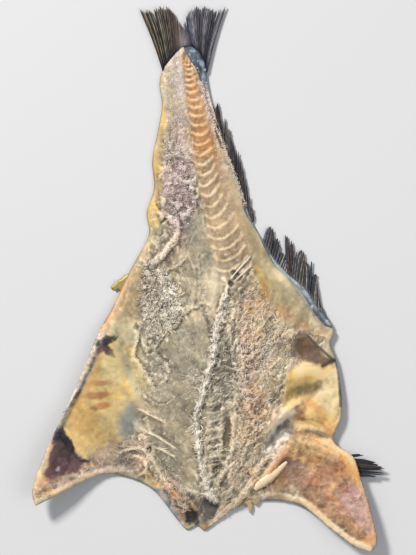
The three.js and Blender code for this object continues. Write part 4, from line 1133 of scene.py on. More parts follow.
def dried_material(name, roughness, grain_mm, bump, fleck, coat=0.0):
    """Painted dried flesh or skin: point colours, with finer mottling, flecks and grain from noise."""
    material = bpy.data.materials.new(name)
    material.use_nodes = True
    nodes, links = material.node_tree.nodes, material.node_tree.links
    shader = nodes["Principled BSDF"]
    paint = nodes.new("ShaderNodeAttribute")
    paint.attribute_name = "Tint"
    place = nodes.new("ShaderNodeTexCoord")

    def noise_node(size_mm, detail, rough_share=0.6):
        node = nodes.new("ShaderNodeTexNoise")
        node.inputs["Scale"].default_value = 1000.0 / size_mm
        node.inputs["Detail"].default_value = detail
        node.inputs["Roughness"].default_value = rough_share
        links.new(place.outputs["Object"], node.inputs["Vector"])
        return node

    def ramp(source, low, high, to_low, to_high):
        node = nodes.new("ShaderNodeMapRange")
        for socket, value in (("From Min", low), ("From Max", high), ("To Min", to_low), ("To Max", to_high)):
            node.inputs[socket].default_value = value
        links.new(source, node.inputs["Value"])
        return node.outputs["Result"]

    fine = noise_node(grain_mm, 6)
    broad = noise_node(grain_mm * 5, 4)
    shade = nodes.new("ShaderNodeMix")
    shade.data_type = "RGBA"
    shade.blend_type = "MULTIPLY"
    shade.inputs[0].default_value = 1.0
    links.new(paint.outputs["Color"], shade.inputs[6])
    tone = nodes.new("ShaderNodeCombineColor")
    value = ramp(fine.outputs["Fac"], 0.3, 0.7, 0.95, 1.05)
    for channel in ("Red", "Green", "Blue"):
        links.new(value, tone.inputs[channel])
    links.new(tone.outputs["Color"], shade.inputs[7])
    light = nodes.new("ShaderNodeMix")
    light.data_type = "RGBA"
    light.inputs[7].default_value = (0.82, 0.78, 0.7, 1)
    spots = noise_node(grain_mm * 0.7, 3)
    links.new(ramp(spots.outputs["Fac"], 0.62, 0.74, 0.0, fleck), light.inputs[0])
    links.new(shade.outputs[2], light.inputs[6])
    links.new(light.outputs[2], shader.inputs["Base Color"])
    dullness = ramp(broad.outputs["Fac"], 0.3, 0.7, roughness - 0.14, roughness + 0.12)
    links.new(dullness, shader.inputs["Roughness"])
    relief = nodes.new("ShaderNodeBump")
    relief.inputs["Strength"].default_value = bump
    relief.inputs["Distance"].default_value = 0.0008
    links.new(fine.outputs["Fac"], relief.inputs["Height"])
    links.new(relief.outputs["Normal"], shader.inputs["Normal"])
    shader.inputs["Specular IOR Level"].default_value = 0.36
    shader.inputs["Coat Weight"].default_value = coat
    shader.inputs["Coat Roughness"].default_value = 0.35
    return material


def finished(piece, material):
    """A piece with its material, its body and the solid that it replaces."""
    piece.data.materials.append(material)
    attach(piece, "root")
    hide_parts("salted_cod")
    return piece


def make_flesh():
    """The flesh with all its relief and paint. Returns its surface, for what lies on it."""
    plan = Plan(1.2)
    top, fields = flesh_relief(plan)
    tint = flesh_paint(plan, top, fields)
    low = undersides(plan.x, plan.y) + 0.7
    piece = sheet_mesh("flesh", FLESH_OUTLINE, plan, top, low, tint)
    finished(piece, dried_material("dried flesh", 0.52, 1.2, 0.3, 0.3, 0.04))
    return Surface(plan, top, tint)


def make_skin():
    """The mottled skin under the whole fish."""
    plan = Plan(1.9)
    x, y = plan.x, plan.y
    low = undersides(x, y)
    tint = plain_tint(x, (112, 116, 112))
    mix_into(tint, (62, 64, 60), 0.65 * unit_steps(-0.05, 0.3, rough(x, y, 9, 211)))
    piece = sheet_mesh("skin", WHOLE_OUTLINE, plan, low + 1.5, low, tint, fine="bottom")
    return finished(piece, dried_material("dried skin", 0.4, 2.0, 0.35, 0.3, 0.15))


# Streaks on the bare skin at the tail's root, in pixels.
SKIN_STREAKS = [
    [(188, 44), (194, 47), (198, 46), (200, 56), (203, 66), (203, 76)],
    [(190, 50), (195, 51), (198, 56), (202, 68)],
    [(197, 44), (201, 52), (204, 62)],
    [(253, 220), (264, 238), (276, 254), (291, 272), (303, 284)],
    [(306, 292), (314, 306), (324, 318), (331, 326)],
]


def make_skin_band():
    """The blue-grey skin between the flesh and the fins of the right side."""
    plan = Plan(1.2, (-60, -80), (160, 300))
    x, y = plan.x, plan.y
    height = undersides(x, y) + 2.6 + 1.2 * unit_steps(190, 250, y) + 0.35 * rough(x, y, 6, 301)
    height = height + 0.5 * terraces(rough(x * 1.6, y * 0.7, 5, 303), 2, 0.4)
    tint = plain_tint(x, COLOURS["blue skin"])

    def mix(colour, share):
        mix_into(tint, colour, share)
    mix((96, 108, 124), 0.9 * unit_steps(232, 262, y))
    # A pinkish-white strip: the skin's own pale tone, painted lighter still as painted light against the
    # shade that falls on it beside the flesh.
    mix((240, 220, 204), 0.9 * unit_steps(110, 140, y) * (1 - unit_steps(230, 246, y)))
    mix((172, 186, 194), 0.75 * unit_steps(120, 60, y))
    mix((66, 72, 76), 0.9 * unit_steps(-12, -42, y))
    mix((70, 74, 80), 0.6 * unit_steps(-0.05, 0.5, rough(x, y, 6, 305)))
    mix((40, 44, 66), 0.9 * unit_steps(-27, -8, x + 0.3 * noise(x, y, 5, 306) * 8) * unit_steps(246, 262, y))
    mix((36, 38, 58), 0.9 * unit_steps(284, 292, y))
    for line in SKIN_STREAKS:
        gap, _, _ = near_line(x + noise(x, y, 5, 307), y, spline(to_mm(line), 5), 8)
        mix((176, 196, 214), 0.7 * np.exp(-np.square(gap / 1.4)) * np.clip(0.6 + noise(x, y, 6, 308), 0, 1))
    mix((226, 226, 220), 0.8 * dots(x, y, 2.6, 309, 0.05))
    tint *= (1 + 0.25 * rough(x, y, 3, 311))[..., None]
    tint = np.clip(tint, DARKEST, 0.9)
    piece = sheet_mesh("skin_band", BAND_OUTLINE, plan, height, undersides(x, y) + 0.9, tint)
    return finished(piece, dried_material("bare skin", 0.4, 1.6, 0.3, 0.25, 0.2))


# Fins: roots, tips, rays, heights at root and tip, bend, cuts between bundles, ragged ends, gape.
FINS = {
    "tail_fin": dict(
        roots=[(-60, 258), (-56, 266), (-46, 279), (-36, 289), (-26, 290), (-16, 284), (-9, 272), (-4, 256)],
        tips=[(-92, 340), (-82, 337), (-71, 338), (-57, 342), (-47, 333), (-40, 321), (-36, 313),
              (-33, 321), (-28, 334), (-16, 342), (-4, 340), (10, 338), (21, 342)],
        rays=58, root_z=(1.6, 5.6), tip_z=(3, 5.2), bend=4, splits=11, ragged=0.05, gape=0.2),
    "rear_anal_fin": dict(
        roots=[(-1, 204), (17, 158), (38, 105), (52, 69)],
        tips=[(3, 214), (7, 215), (10, 221), (14, 196), (20, 201), (28, 172), (33, 162), (37, 154), (41, 137),
              (46, 116), (57, 71)],
        rays=40, root_z=(2.4, 5), tip_z=(2.2, 3.6), bend=0, splits=11, ragged=0.1, gape=0.5),
    "front_anal_spike": dict(
        roots=[(65, 44), (81, 21), (96, 5)],
        tips=[(72, 71), (82, 55), (93, 31), (99, 17)],
        rays=12, root_z=(2.6, 5.4), tip_z=(2.6, 3.8), bend=0, splits=3, ragged=0.12, gape=0.5),
    "front_anal_fin": dict(
        roots=[(96, 5), (106, -3), (119, -15), (134, -38), (147, -60)],
        tips=[(91, 61), (102, 48), (108, 34), (111, 41), (118, 31), (119, 20), (124, 29), (132, 13),
              (134, -4), (137, -25), (142, -39), (149, -54)],
        rays=30, root_z=(2.6, 5.4), tip_z=(2.4, 3.8), bend=0, splits=9, ragged=0.1, gape=0.5),
    "pectoral_fin": dict(
        roots=[(150, -226), (148, -236), (150, -247)],
        tips=[(186, -219), (199, -226), (219, -239), (212, -242), (221, -246), (208, -250), (190, -250)],
        rays=16, root_z=(8.4, 10.4), tip_z=(8.4, 10.0), bend=0, splits=5, ragged=0.06, gape=0.4),
    "left_pectoral_fin": dict(
        roots=[(-160, -244), (-146, -238), (-134, -226)],
        tips=[(-158, -196), (-146, -178), (-132, -172), (-120, -184)],
        rays=16, folded=True, bend=0, splits=3, ragged=0.06, gape=0.3),
}
# Fins of the back, folded under: from and to along Y, reach across and sweep towards the tail.
BACK_FINS = [(205, 118, 22, 16), (92, -30, 30, 22), (-62, -150, 36, 26)]
for k, (start_y, end_y, reach, sweep) in enumerate(BACK_FINS):
    places = [start_y, (start_y + end_y) / 2, end_y]
    tips = []
    for t in (0, 0.3, 0.6, 1):
        y = start_y + (end_y - start_y) * t
        x = float(along(BACK_LINE, y)) + reach * (0.45 + 0.55 * math.sqrt(t))
        tips.append((x, y + sweep * (0.6 + 0.4 * t)))
    FINS["back_fin_%d" % (k + 1)] = dict(
        roots=[(float(along(BACK_LINE, y)), y) for y in places], tips=tips,
        rays=30, folded=True, bend=0, splits=6, ragged=0.08, gape=0.3)
RAY_COLUMNS = 4
FIN_ROWS = 30
FOLDED_THICKNESS = 1.3
LOWEST_FIN_Z = 0.2


FIN_DARK = linear((24, 24, 32))
FIN_TAN, FIN_BROWN = linear((206, 192, 160)), linear((150, 118, 92))
FIN_LAVENDER, FIN_BLUE = linear((196, 190, 202)), linear((140, 150, 176))
TAIL_ROOT, TAIL_NAVY = linear((196, 184, 186)), linear((26, 28, 50))
ANAL_ROOT = linear((112, 118, 124))
FIN_PALENESS = {"pectoral_fin": 0.2, "front_anal_fin": 0.95, "front_anal_spike": 0.8}
OTHER_PALENESS = 0.55
# Where the tail fin's two lobes meet, across it.
LOBES_MEET = 0.47


def fin_colour(name, u, v, shade, hue):
    """The colour of a fin at a place across and along it."""
    if name == "tail_fin":
        pair = (FIN_TAN, FIN_BROWN) if u < LOBES_MEET else (FIN_LAVENDER, FIN_BLUE)
        pale = pair[0] if hue < 0.55 else pair[1]
        amount = shade * (0.8 if u < LOBES_MEET else 1.0)
    else:
        pale = FIN_TAN if hue < 0.4 else (FIN_BROWN if hue < 0.7 else FIN_BLUE)
        amount = shade * FIN_PALENESS.get(name, OTHER_PALENESS)
    colour = FIN_DARK + (pale - FIN_DARK) * min(amount, 1)
    if "anal" in name:
        colour = colour + (ANAL_ROOT - colour) * 0.6 * max(0.0, 1 - 7 * v)
    if name == "tail_fin":
        root = 0.8 * math.exp(-((u - LOBES_MEET) / 0.1) ** 2) * max(0.0, 1 - 0.8 * v)
        colour = colour + (TAIL_ROOT - colour) * root
        navy = max(0.0, 1 - 4.5 * v) * (1 - 0.6 * math.exp(-((u - 0.45) / 0.12) ** 2))
        colour = colour + (TAIL_NAVY - colour) * navy
    return colour


def point_on(line, share):
    """Places on a line at shares of it, from 0 to 1."""
    place = share * (len(line) - 1)
    k = np.minimum(place.astype(int), len(line) - 2)
    f = (place - k)[:, None]
    return line[k] * (1 - f) + line[k + 1] * f


def fin_heights(shape, spot, v, crest, wave):
    """The lower and the upper height of a fin along one row; a folded fin follows the skin."""
    if "folded" in shape:
        skin = undersides(spot[:, 0], spot[:, 1])
        low = np.maximum(LOWEST_FIN_Z, skin - FOLDED_THICKNESS * (1 - 0.4 * v) * (0.55 + 0.45 * crest))
        return low, skin + 0.9
    low, high = (start + (end - start) * v for start, end in zip(shape["root_z"], shape["tip_z"]))
    web = 0.42 * (high - low) * (1 - crest)
    return low + web * 0.6 + wave, high - web + wave


def bundle_faces(base, n):
    """The faces around a bundle of n columns, whose rows of upper and lower points start at base."""
    row = 2 * (n + 1)
    faces = []
    for j in range(FIN_ROWS):
        for k in range(n):
            a = base + j * row + k
            faces.append((a, a + row, a + row + 1, a + 1))
            b = a + n + 1
            faces.append((b, b + 1, b + row + 1, b + row))
        for k, flip in ((0, False), (n, True)):
            a = base + j * row + k
            ring = (a, a + n + 1, a + n + 1 + row, a + row)
            faces.append(ring[::-1] if flip else ring)
    for j, flip in ((0, False), (FIN_ROWS, True)):
        for k in range(n):
            a = base + j * row + k
            ring = (a, a + 1, a + n + 2, a + n + 1)
            faces.append(ring[::-1] if flip else ring)
    return faces


def make_fin(name, shape, material):
    """A fin of many rays, in bundles that part towards their ragged tips."""
    random = np.random.RandomState(len(name) * 7 + 5)
    root_line = spline(shape["roots"], 24)
    tip_line = spline(shape["tips"], 12)
    rays = shape["rays"]
    cuts = np.sort(random.choice(np.arange(2, rays - 1), shape["splits"], replace=False))
    bundles = np.split(np.arange(rays), cuts)
    reach = 1 - shape["ragged"] * random.rand(rays)
    tone = random.rand(rays)
    hue = random.rand(rays)
    positions, faces, colours = [], [], []
    for bundle in bundles:
        n = len(bundle) * RAY_COLUMNS
        t = bundle[0] + np.arange(n + 1) / RAY_COLUMNS
        u = t / rays
        middle = (bundle[0] + bundle[-1] + 1) / 2 / rays
        crest = np.abs(np.sin(np.pi * t))
        ray = np.clip(np.floor(t).astype(int), bundle[0], bundle[-1])
        faces += bundle_faces(len(positions), n)
        for j in range(FIN_ROWS + 1):
            v = j / FIN_ROWS
            closed = 1 - shape["gape"] * v ** 3
            root, tip = point_on(root_line, u), point_on(tip_line, middle + (u - middle) * closed)
            length = v * (reach[ray] - 0.07 * (1 - crest) * v)
            spot = root + (tip - root) * length[:, None]
            spot[:, 0] -= shape["bend"] * math.sin(math.pi * v) * (u - 0.5)
            low, high = fin_heights(shape, spot, v, crest, 0.4 * np.sin(v * 5 + ray * 0.9) * v)
            streak = 0.5 + 0.5 * np.sin(v * 23 + hue[ray] * 40) * np.sin(v * 9 + tone[ray] * 30)
            shade = 1.25 * crest ** 2 * (0.3 + 0.7 * streak) * (0.1 + 0.9 * tone[ray] ** 1.3)
            for z in (high, low):
                for k in range(n + 1):
                    positions.append((min(spot[k, 0], HALF_WIDTH), min(spot[k, 1], HALF_LENGTH), z[k]))
                    colours.append(fin_colour(name, u[k], v, shade[k], hue[ray[k]]))
    piece = mesh_piece(name, positions, faces, np.array(colours))
    return finished(piece, material)


class Surface:
    """The height and the colour of the flesh at any place."""

    def __init__(self, plan, top, tint):
        self.plan, self.top, self.tint = plan, top, tint

    def cell(self, x, y):
        """The grid cell of each place, and how far across it the place is."""
        nx, ny = self.top.shape
        gx = np.clip((x - self.plan.x[0, 0]) / self.plan.step, 0, nx - 1.001)
        gy = np.clip((y - self.plan.y[0, 0]) / self.plan.step, 0, ny - 1.001)
        return gx.astype(int), gy.astype(int), gx - gx.astype(int), gy - gy.astype(int)

    def height(self, x, y):
        """The height at each place, between the four points around it."""
        i, j, fx, fy = self.cell(x, y)
        t = self.top
        low = t[i, j] * (1 - fx) + t[i + 1, j] * fx
        high = t[i, j + 1] * (1 - fx) + t[i + 1, j + 1] * fx
        return low * (1 - fy) + high * fy

    def colour(self, x, y):
        """The colour at each place."""
        i, j, _, _ = self.cell(x, y)
        return self.tint[i, j]


FLESH_MARGIN = 1.2
# The frayed rim of the tail lies partly on the skin beside the flesh.
RIM_MARGIN = -6.0
TAIL_RIM = to_mm([
    (201, 82), (205.5, 101.5), (213, 121.4), (222, 140), (228, 158), (234.6, 172.6), (246, 206),
])
CREST_FROM = to_mm([(225, 300), (216, 331)]) + MIDDLE_CREST[3:]


def on_flesh(places, angle=None, margin=FLESH_MARGIN):
    """The places that lie on the flesh, a margin in mm from its rim, with their directions."""
    kept = polygon_depth(places[:, 0], places[:, 1], FLESH_OUTLINE, 8.0) > margin
    for patch in DARK_PATCHES:
        kept &= ~inside(places[:, 0], places[:, 1], np.array(to_mm(patch)))
    return places[kept], None if angle is None else angle[kept]


def in_zone(random, corners, count):
    """Random places inside a zone given in pixels."""
    corners = np.array(to_mm(corners))
    low, high = corners.min(axis=0), corners.max(axis=0)
    places = low + random.rand(count * 4, 2) * (high - low)
    return on_flesh(places[inside(places[:, 0], places[:, 1], corners)][:count])[0]


def on_line(random, line, count, spread):
    """Random places near a line, with the line's direction at each."""
    curve = spline(line, 8)
    k = random.randint(0, len(curve) - 1, count)
    f = random.rand(count)[:, None]
    places = curve[k] * (1 - f) + curve[k + 1] * f
    d = curve[k + 1] - curve[k]
    margin = RIM_MARGIN if line is TAIL_RIM else FLESH_MARGIN
    return on_flesh(places + random.randn(count, 2) * spread, np.arctan2(d[:, 1], d[:, 0]), margin)


STRAND_STEPS = 6
FIBRE_THICKNESS = 1.6


def strands(random, places, angle, length, half_width, lift, curl, surface, colour):
    """Tapered three-sided strands that lie on the flesh: points, faces and colours."""
    count = len(places)
    t = np.linspace(0, 1, STRAND_STEPS)[None, :]
    length = random.uniform(*length, count)[:, None]
    turn = angle[:, None] + (random.randn(count) * curl)[:, None] * t
    step = length / (STRAND_STEPS - 1)
    px = places[:, :1] + np.cumsum(np.cos(turn) * step, axis=1)
    py = places[:, 1:] + np.cumsum(np.sin(turn) * step, axis=1)
    rise = (random.rand(count) * lift)[:, None] * np.sin(np.pi * t * random.uniform(0.5, 1.0, (count, 1)))
    pz = surface.height(px, py) + rise
    taper = np.sin(np.pi * (0.12 + 0.84 * t)) ** 0.7
    half = FIBRE_THICKNESS * half_width * random.uniform(0.6, 1.5, (count, 1)) * taper
    across_x, across_y = -np.sin(turn) * half, np.cos(turn) * half
    points = np.stack([
        np.stack([px - across_x, py - across_y, pz - half * 0.5], axis=-1),
        np.stack([px + across_x, py + across_y, pz - half * 0.5], axis=-1),
        np.stack([px, py, pz + half * 0.9], axis=-1)], axis=2).reshape(-1, 3)
    base = (np.arange(count) * STRAND_STEPS * 3)[:, None]
    faces = []
    for j in range(STRAND_STEPS - 1):
        a, b = base + j * 3, base + j * 3 + 3
        for m, n in ((0, 1), (1, 2), (2, 0)):
            faces.append(np.hstack([a + m, a + n, b + n, b + m]))
    faces = np.vstack(faces).tolist()
    first, last = base[:, 0], base[:, 0] + (STRAND_STEPS - 1) * 3
    faces += np.stack([first + 2, first + 1, first], axis=1).tolist()
    faces += np.stack([last, last + 1, last + 2], axis=1).tolist()
    tone = random.uniform(0.85, 1.2, (count, 1))
    under = surface.colour(places[:, 0], places[:, 1])
    blend = random.uniform(0.15, 0.9, (count, 1)) ** 1.5
    # The colour under each strand is lifted by a quarter: a painted highlight on the raised strands, mixed
    # with their own colour.
    shades = (1.25 * under * (1 - blend) + linear(COLOURS[colour]) * blend) * tone
    return points, faces, np.repeat(shades, STRAND_STEPS * 3, axis=0)


FLAKE_CORNERS = 7


def flakes(random, places, radius, tilt, surface, colour, share):
    """Thin torn scraps with one side lifted: points, faces and colours."""
    count = len(places)
    n = FLAKE_CORNERS
    a = random.rand(count, 1) * 2 * math.pi + np.arange(n)[None, :] / n * 2 * math.pi
    a = a + random.uniform(-0.25, 0.25, (count, n))
    r = random.uniform(*radius, (count, 1)) * random.uniform(0.5, 1.0, (count, n))
    stretch, turn = random.uniform(0.45, 1.0, (count, 1)), random.rand(count, 1) * math.pi
    u, v = r * np.cos(a), r * np.sin(a) * stretch
    px = places[:, :1] + u * np.cos(turn) - v * np.sin(turn)
    py = places[:, 1:] + u * np.sin(turn) + v * np.cos(turn)
    lean = np.clip(np.cos(a - random.rand(count, 1) * 6.28), 0, 1) * random.rand(count, 1) * tilt
    pz = surface.height(px, py) + 0.15 + lean
    faces_up, faces_down = (np.stack([px, py, pz + shift], axis=-1) for shift in (0.12, -0.4))
    points = np.concatenate([faces_up, faces_down], axis=1)
    base = (np.arange(count) * 2 * n)[:, None]
    ring = np.arange(n)[None, :]
    faces = (base + ring).tolist() + (base + n + ring[:, ::-1]).tolist()
    for k in range(n):
        m = (k + 1) % n
        faces += np.hstack([base + k, base + n + k, base + n + m, base + m]).tolist()
    under = surface.colour(places[:, 0], places[:, 1])
    blend = random.rand(count, 1) * share
    shades = (under * (1 - blend) + linear(COLOURS[colour]) * blend) * random.uniform(0.8, 1.25, (count, 1))
    return points.reshape(-1, 3), faces, np.repeat(shades, 2 * n, axis=0)


def crystals(random, places, size, surface):
    """Grains of coarse salt, each a tilted cube: points, faces and colours."""
    count = len(places)
    half = random.uniform(*size, count) / 2
    cube = np.array([(i, j, k) for i in (-1, 1) for j in (-1, 1) for k in (-1, 1)], float)
    points = []
    a, b, c = random.rand(3, count) * math.pi
    cos_a, cos_b, cos_c = np.cos(a), np.cos(b), np.cos(c)
    sin_a, sin_b, sin_c = np.sin(a), np.sin(b), np.sin(c)
    height = surface.height(places[:, 0], places[:, 1])
    for corner in cube:
        x, y, z = (corner * np.array([1, 0.8, 0.7]))[:, None] * half
        x, y = x * cos_a - y * sin_a, x * sin_a + y * cos_a
        y, z = y * cos_b - z * sin_b, y * sin_b + z * cos_b
        x, z = x * cos_c - z * sin_c, x * sin_c + z * cos_c
        points.append(np.stack([places[:, 0] + x, places[:, 1] + y, height + half * 0.4 + z], axis=1))
    points = np.stack(points, axis=1).reshape(-1, 3)
    base = (np.arange(count) * 8)[:, None]
    faces = []
    for ring in ((0, 1, 3, 2), (4, 6, 7, 5), (0, 4, 5, 1), (2, 3, 7, 6), (0, 2, 6, 4), (1, 5, 7, 3)):
        faces += (base + np.array(ring)[None, :]).tolist()
    shades = np.repeat(linear((236, 232, 224))[None, :] * random.uniform(0.7, 1.0, (count, 1)), 8, axis=0)
    return points, faces, shades


def joined(name, parts, material, smooth=True):
    """Points, faces and colours of several sorts as one piece."""
    positions, faces, colours, total = [], [], [], 0
    for points, rings, shades in parts:
        positions.append(points)
        colours.append(shades)
        faces += [[v + total for v in ring] for ring in rings]
        total += len(points)
    colours = np.maximum(np.vstack(colours), 0.004)
    colours = colours * np.minimum(1, BRIGHTEST / colours.max(axis=1, keepdims=True))
    piece = mesh_piece(name, np.vstack(positions), faces, colours, smooth)
    return finished(piece, material)


# Loose fibres beside lines: line, count, spread, fan in degrees, lengths, half width, lift, curl, colour.
LINE_FIBRES = [
    (CREST_FROM, 430, 1.7, 45, (3, 9), 0.45, 1.6, 1.3, "white"),
    (CREST_FROM, 200, 1.2, 16, (5, 14), 0.6, 1.6, 0.6, "white"),
    (RIGHT_CREST, 360, 3.6, 70, (3, 9), 0.38, 1.2, 1.3, "sinew"),
    (FOLD_FLAP, 170, 1.5, 60, (2, 5), 0.3, 0.9, 1.4, "sinew"),
    (LEFT_THROAT, 120, 3.0, 30, (3, 8), 0.35, 0.8, 0.8, "sinew"),
    (RIGHT_THROAT, 170, 3.0, 35, (3, 8), 0.32, 0.8, 0.8, "sinew"),
    (TAIL_RIM, 330, 0.9, 60, (1.2, 4.0), 0.32, 0.8, 1.4, "sinew"),
    (LEFT_COLLARBONE, 110, 3.0, 60, (2, 6), 0.24, 0.3, 1.4, "rim"),
    (CURLED_RIM, 160, 1.5, 40, (2, 6), 0.3, 0.4, 1.0, "rim"),
    (to_mm([(231, 420), (233, 439), (228, 458), (221, 476), (215, 490)]),
     170, 2.0, 60, (2, 6), 0.3, 1.0, 1.2, "sinew"),
    (to_mm(UPPER_RIB), 26, 0.7, 12, (5, 12), 0.35, 0.8, 0.3, "sinew"),
    (to_mm(MIDDLE_RIB), 30, 0.7, 12, (5, 12), 0.4, 0.9, 0.3, "sinew"),
    (to_mm(LOWER_RIB), 24, 0.7, 12, (5, 10), 0.35, 0.8, 0.3, "sinew"),
    (to_mm([(119, 453), (138, 448), (147, 454), (148, 462)]), 60, 1.5, 25, (3, 9), 0.35, 0.8, 0.8, "sinew"),
]
# Scraps beside lines: line in mm, count, spread, radii, tilt, colour, share of that colour.
LINE_FLAKES = [
    (CREST_FROM, 420, 1.7, (0.9, 2.8), 1.8, "sinew", 0.9),
    (RIGHT_CREST, 200, 2.5, (0.8, 2.4), 1.0, "pink loin", 0.7),
    (TAIL_RIM, 200, 0.8, (0.6, 1.5), 0.8, "sinew", 0.9),
]
for ledge_line, _, _ in LEDGES:
    LINE_FIBRES.append((ledge_line, 70, 1.4, 60, (1.5, 4.5), 0.26, 0.8, 1.3, "membrane"))
    LINE_FLAKES.append((ledge_line, 60, 1.0, (0.9, 2.6), 0.9, "membrane", 0.6))
# Loose fibres over zones: corners in pixels, count, direction and spread in degrees, then as above.
WHITE_TAIL = [(164, 66), (182, 52), (186, 80), (189, 110), (184, 126), (170, 124), (164, 100)]
COLUMN_CORNERS = [(186, 70), (200, 90), (211, 130), (222, 165), (238, 205), (249, 235), (248, 262),
                  (228, 276), (212, 262), (203, 200), (193, 140)]
ZONE_FIBRES = [
    ([(186, 370), (206, 370), (204, 398), (186, 400)], 150, 200, 30, (3, 9), 0.3, 1.0, 0.9, "sinew"),
    (TUFT_CORNERS, 480, 60, 180, (2.5, 8.5), 0.46, 2.2, 1.6, "white"),
    (BETWEEN_CRESTS, 260, 30, 60, (3, 8.5), 0.36, 1.0, 1.2, "sinew"),
    (RIGHT_LOIN, 330, 55, 35, (4, 12), 0.36, 0.8, 0.9, "sinew"),
    ([(256, 346), (270, 342), (276, 354), (262, 376), (254, 368)],
     130, 40, 60, (2, 7), 0.36, 1.6, 1.6, "white"),
    ([(262, 322), (300, 336), (296, 360), (270, 352)], 150, 0, 180, (2, 6), 0.3, 1.0, 1.8, "sinew"),
    ([(190, 340), (210, 345), (200, 380), (186, 372)], 50, 0, 180, (2, 5), 0.3, 0.8, 1.8, "white"),
    (GRANULAR_CORNERS, 240, 90, 90, (1.6, 5.0), 0.34, 0.9, 1.8, "sinew"),
    ([(168, 104), (184, 108), (190, 140), (170, 140)], 150, 100, 60, (2, 6), 0.26, 0.7, 1.6, "sinew"),
    (MID_FLESH, 150, 115, 30, (2, 6), 0.22, 0.4, 0.8, "membrane"),
    (WHITE_TAIL, 260, 80, 60, (1.2, 4.0), 0.22, 0.5, 1.6, "lilac white"),
    ([(88, 446), (146, 438), (152, 470), (92, 472)], 260, 0, 180, (2.5, 7), 0.2, 0.1, 1.6, "rim"),
    ([(62, 474), (112, 466), (118, 474), (60, 494)], 110, 20, 40, (3, 8), 0.22, 0.2, 1.2, "rim"),
    ([(336, 490), (364, 486), (370, 530), (344, 514)], 150, 0, 180, (3, 8), 0.28, 0.05, 1.4, "lilac white"),
    ([(150, 458), (176, 460), (206, 494), (190, 504), (156, 482)],
     160, 320, 40, (2.5, 7), 0.28, 0.7, 1.0, "sinew"),
    ([(226, 452), (256, 446), (252, 486), (222, 504)], 200, 50, 40, (2.5, 7), 0.28, 0.7, 1.0, "sinew"),
    (COLUMN_CORNERS, 200, 150, 40, (1.2, 3.5), 0.2, 0.3, 1.2, "sinew"),
]
# Scraps: corners in pixels, count, radii, tilt, colour, share of that colour.
ZONE_FLAKES = [
    (TUFT_CORNERS, 220, (1.2, 3.4), 2.2, "white", 0.8),
    ([(158, 276), (170, 278), (182, 300), (176, 318), (160, 310)], 120, (1.8, 4.4), 3.0, "white", 0.9),
    (GRANULAR_CORNERS, 130, (1.0, 2.8), 1.4, "lilac white", 0.6),
    (BETWEEN_CRESTS, 120, (0.9, 2.8), 1.1, "cream loin", 0.6),
    (RIGHT_LOIN, 120, (0.9, 3.2), 1.0, "sinew", 0.6),
    (LEFT_LOIN, 110, (0.7, 2.2), 0.5, "sinew", 0.5),
    ([(140, 318), (178, 300), (168, 340), (176, 392), (158, 402),
     (140, 372)], 150, (0.9, 3.0), 0.8, "membrane", 0.6),
    ([(183, 494), (226, 494), (222, 522), (186, 526)], 110, (0.8, 2.2), 1.0, "ivory", 0.5),
    (WHITE_TAIL, 120, (0.6, 1.6), 0.5, "lilac white", 0.7),
]
# Salt: corners in pixels, count, sizes.
ZONE_SALT = [
    (GRANULAR_CORNERS, 300, (0.6, 1.7)),
    (TUFT_CORNERS, 140, (0.5, 1.2)),
    (WHITE_TAIL, 220, (0.4, 1.0)),
    (COLUMN_CORNERS, 260, (0.4, 1.1)),
    (LEFT_LOIN, 130, (0.4, 1.1)),
    (RIGHT_LOIN, 200, (0.4, 1.1)),
    (BETWEEN_CRESTS, 160, (0.4, 1.1)),
    (MID_FLESH, 80, (0.4, 1.0)),
    ([(206, 110), (222, 134), (248, 206), (240, 222), (222, 190)], 150, (0.4, 1.1)),
    ([(88, 446), (146, 438), (152, 470), (92, 472)], 90, (0.4, 1.0)),
]


def make_fibres(random, surface):
    """The loose fibres of sinew."""
    parts = []
    for line, count, spread, fan, length, half_width, lift, curl, colour in LINE_FIBRES:
        places, angle = on_line(random, line, count, spread)
        n = len(places)
        angle = angle + np.radians(random.uniform(-fan, fan, n)) + math.pi * random.randint(0, 2, n)
        parts.append(strands(random, places, angle, length, half_width, lift, curl, surface, colour))
    for corners, count, direction, fan, length, half_width, lift, curl, colour in ZONE_FIBRES:
        places = in_zone(random, corners, count)
        angle = np.radians(direction + random.uniform(-fan, fan, len(places)))
        parts.append(strands(random, places, angle, length, half_width, lift, curl, surface, colour))
    return joined("sinew_fibres", parts, dried_material("sinew", 0.4, 1.0, 0.2, 0.2, 0.1))


def make_scraps(random, surface):
    """The torn scraps of lining."""
    parts = []
    for line, count, spread, radius, tilt, colour, share in LINE_FLAKES:
        places = on_line(random, line, count, spread)[0]
        parts.append(flakes(random, places, radius, tilt, surface, colour, share))
    for corners, count, radius, tilt, colour, share in ZONE_FLAKES:
        parts.append(flakes(random, in_zone(random, corners, count), radius, tilt, surface, colour, share))
    material = dried_material("scraps", 0.42, 1.2, 0.2, 0.2, 0.1)
    return joined("torn_scraps", parts, material, smooth=False)


def make_salt(random, surface):
    """The grains of salt, also along the tail's rim."""
    parts = [crystals(random, in_zone(random, corners, count), size, surface)
             for corners, count, size in ZONE_SALT]
    parts.append(crystals(random, on_line(random, TAIL_RIM, 160, 1.0)[0], (0.5, 1.2), surface))
    material = dried_material("salt", 0.25, 0.8, 0.1, 0.1, 0.3)
    return joined("salt_grains", parts, material, smooth=False)


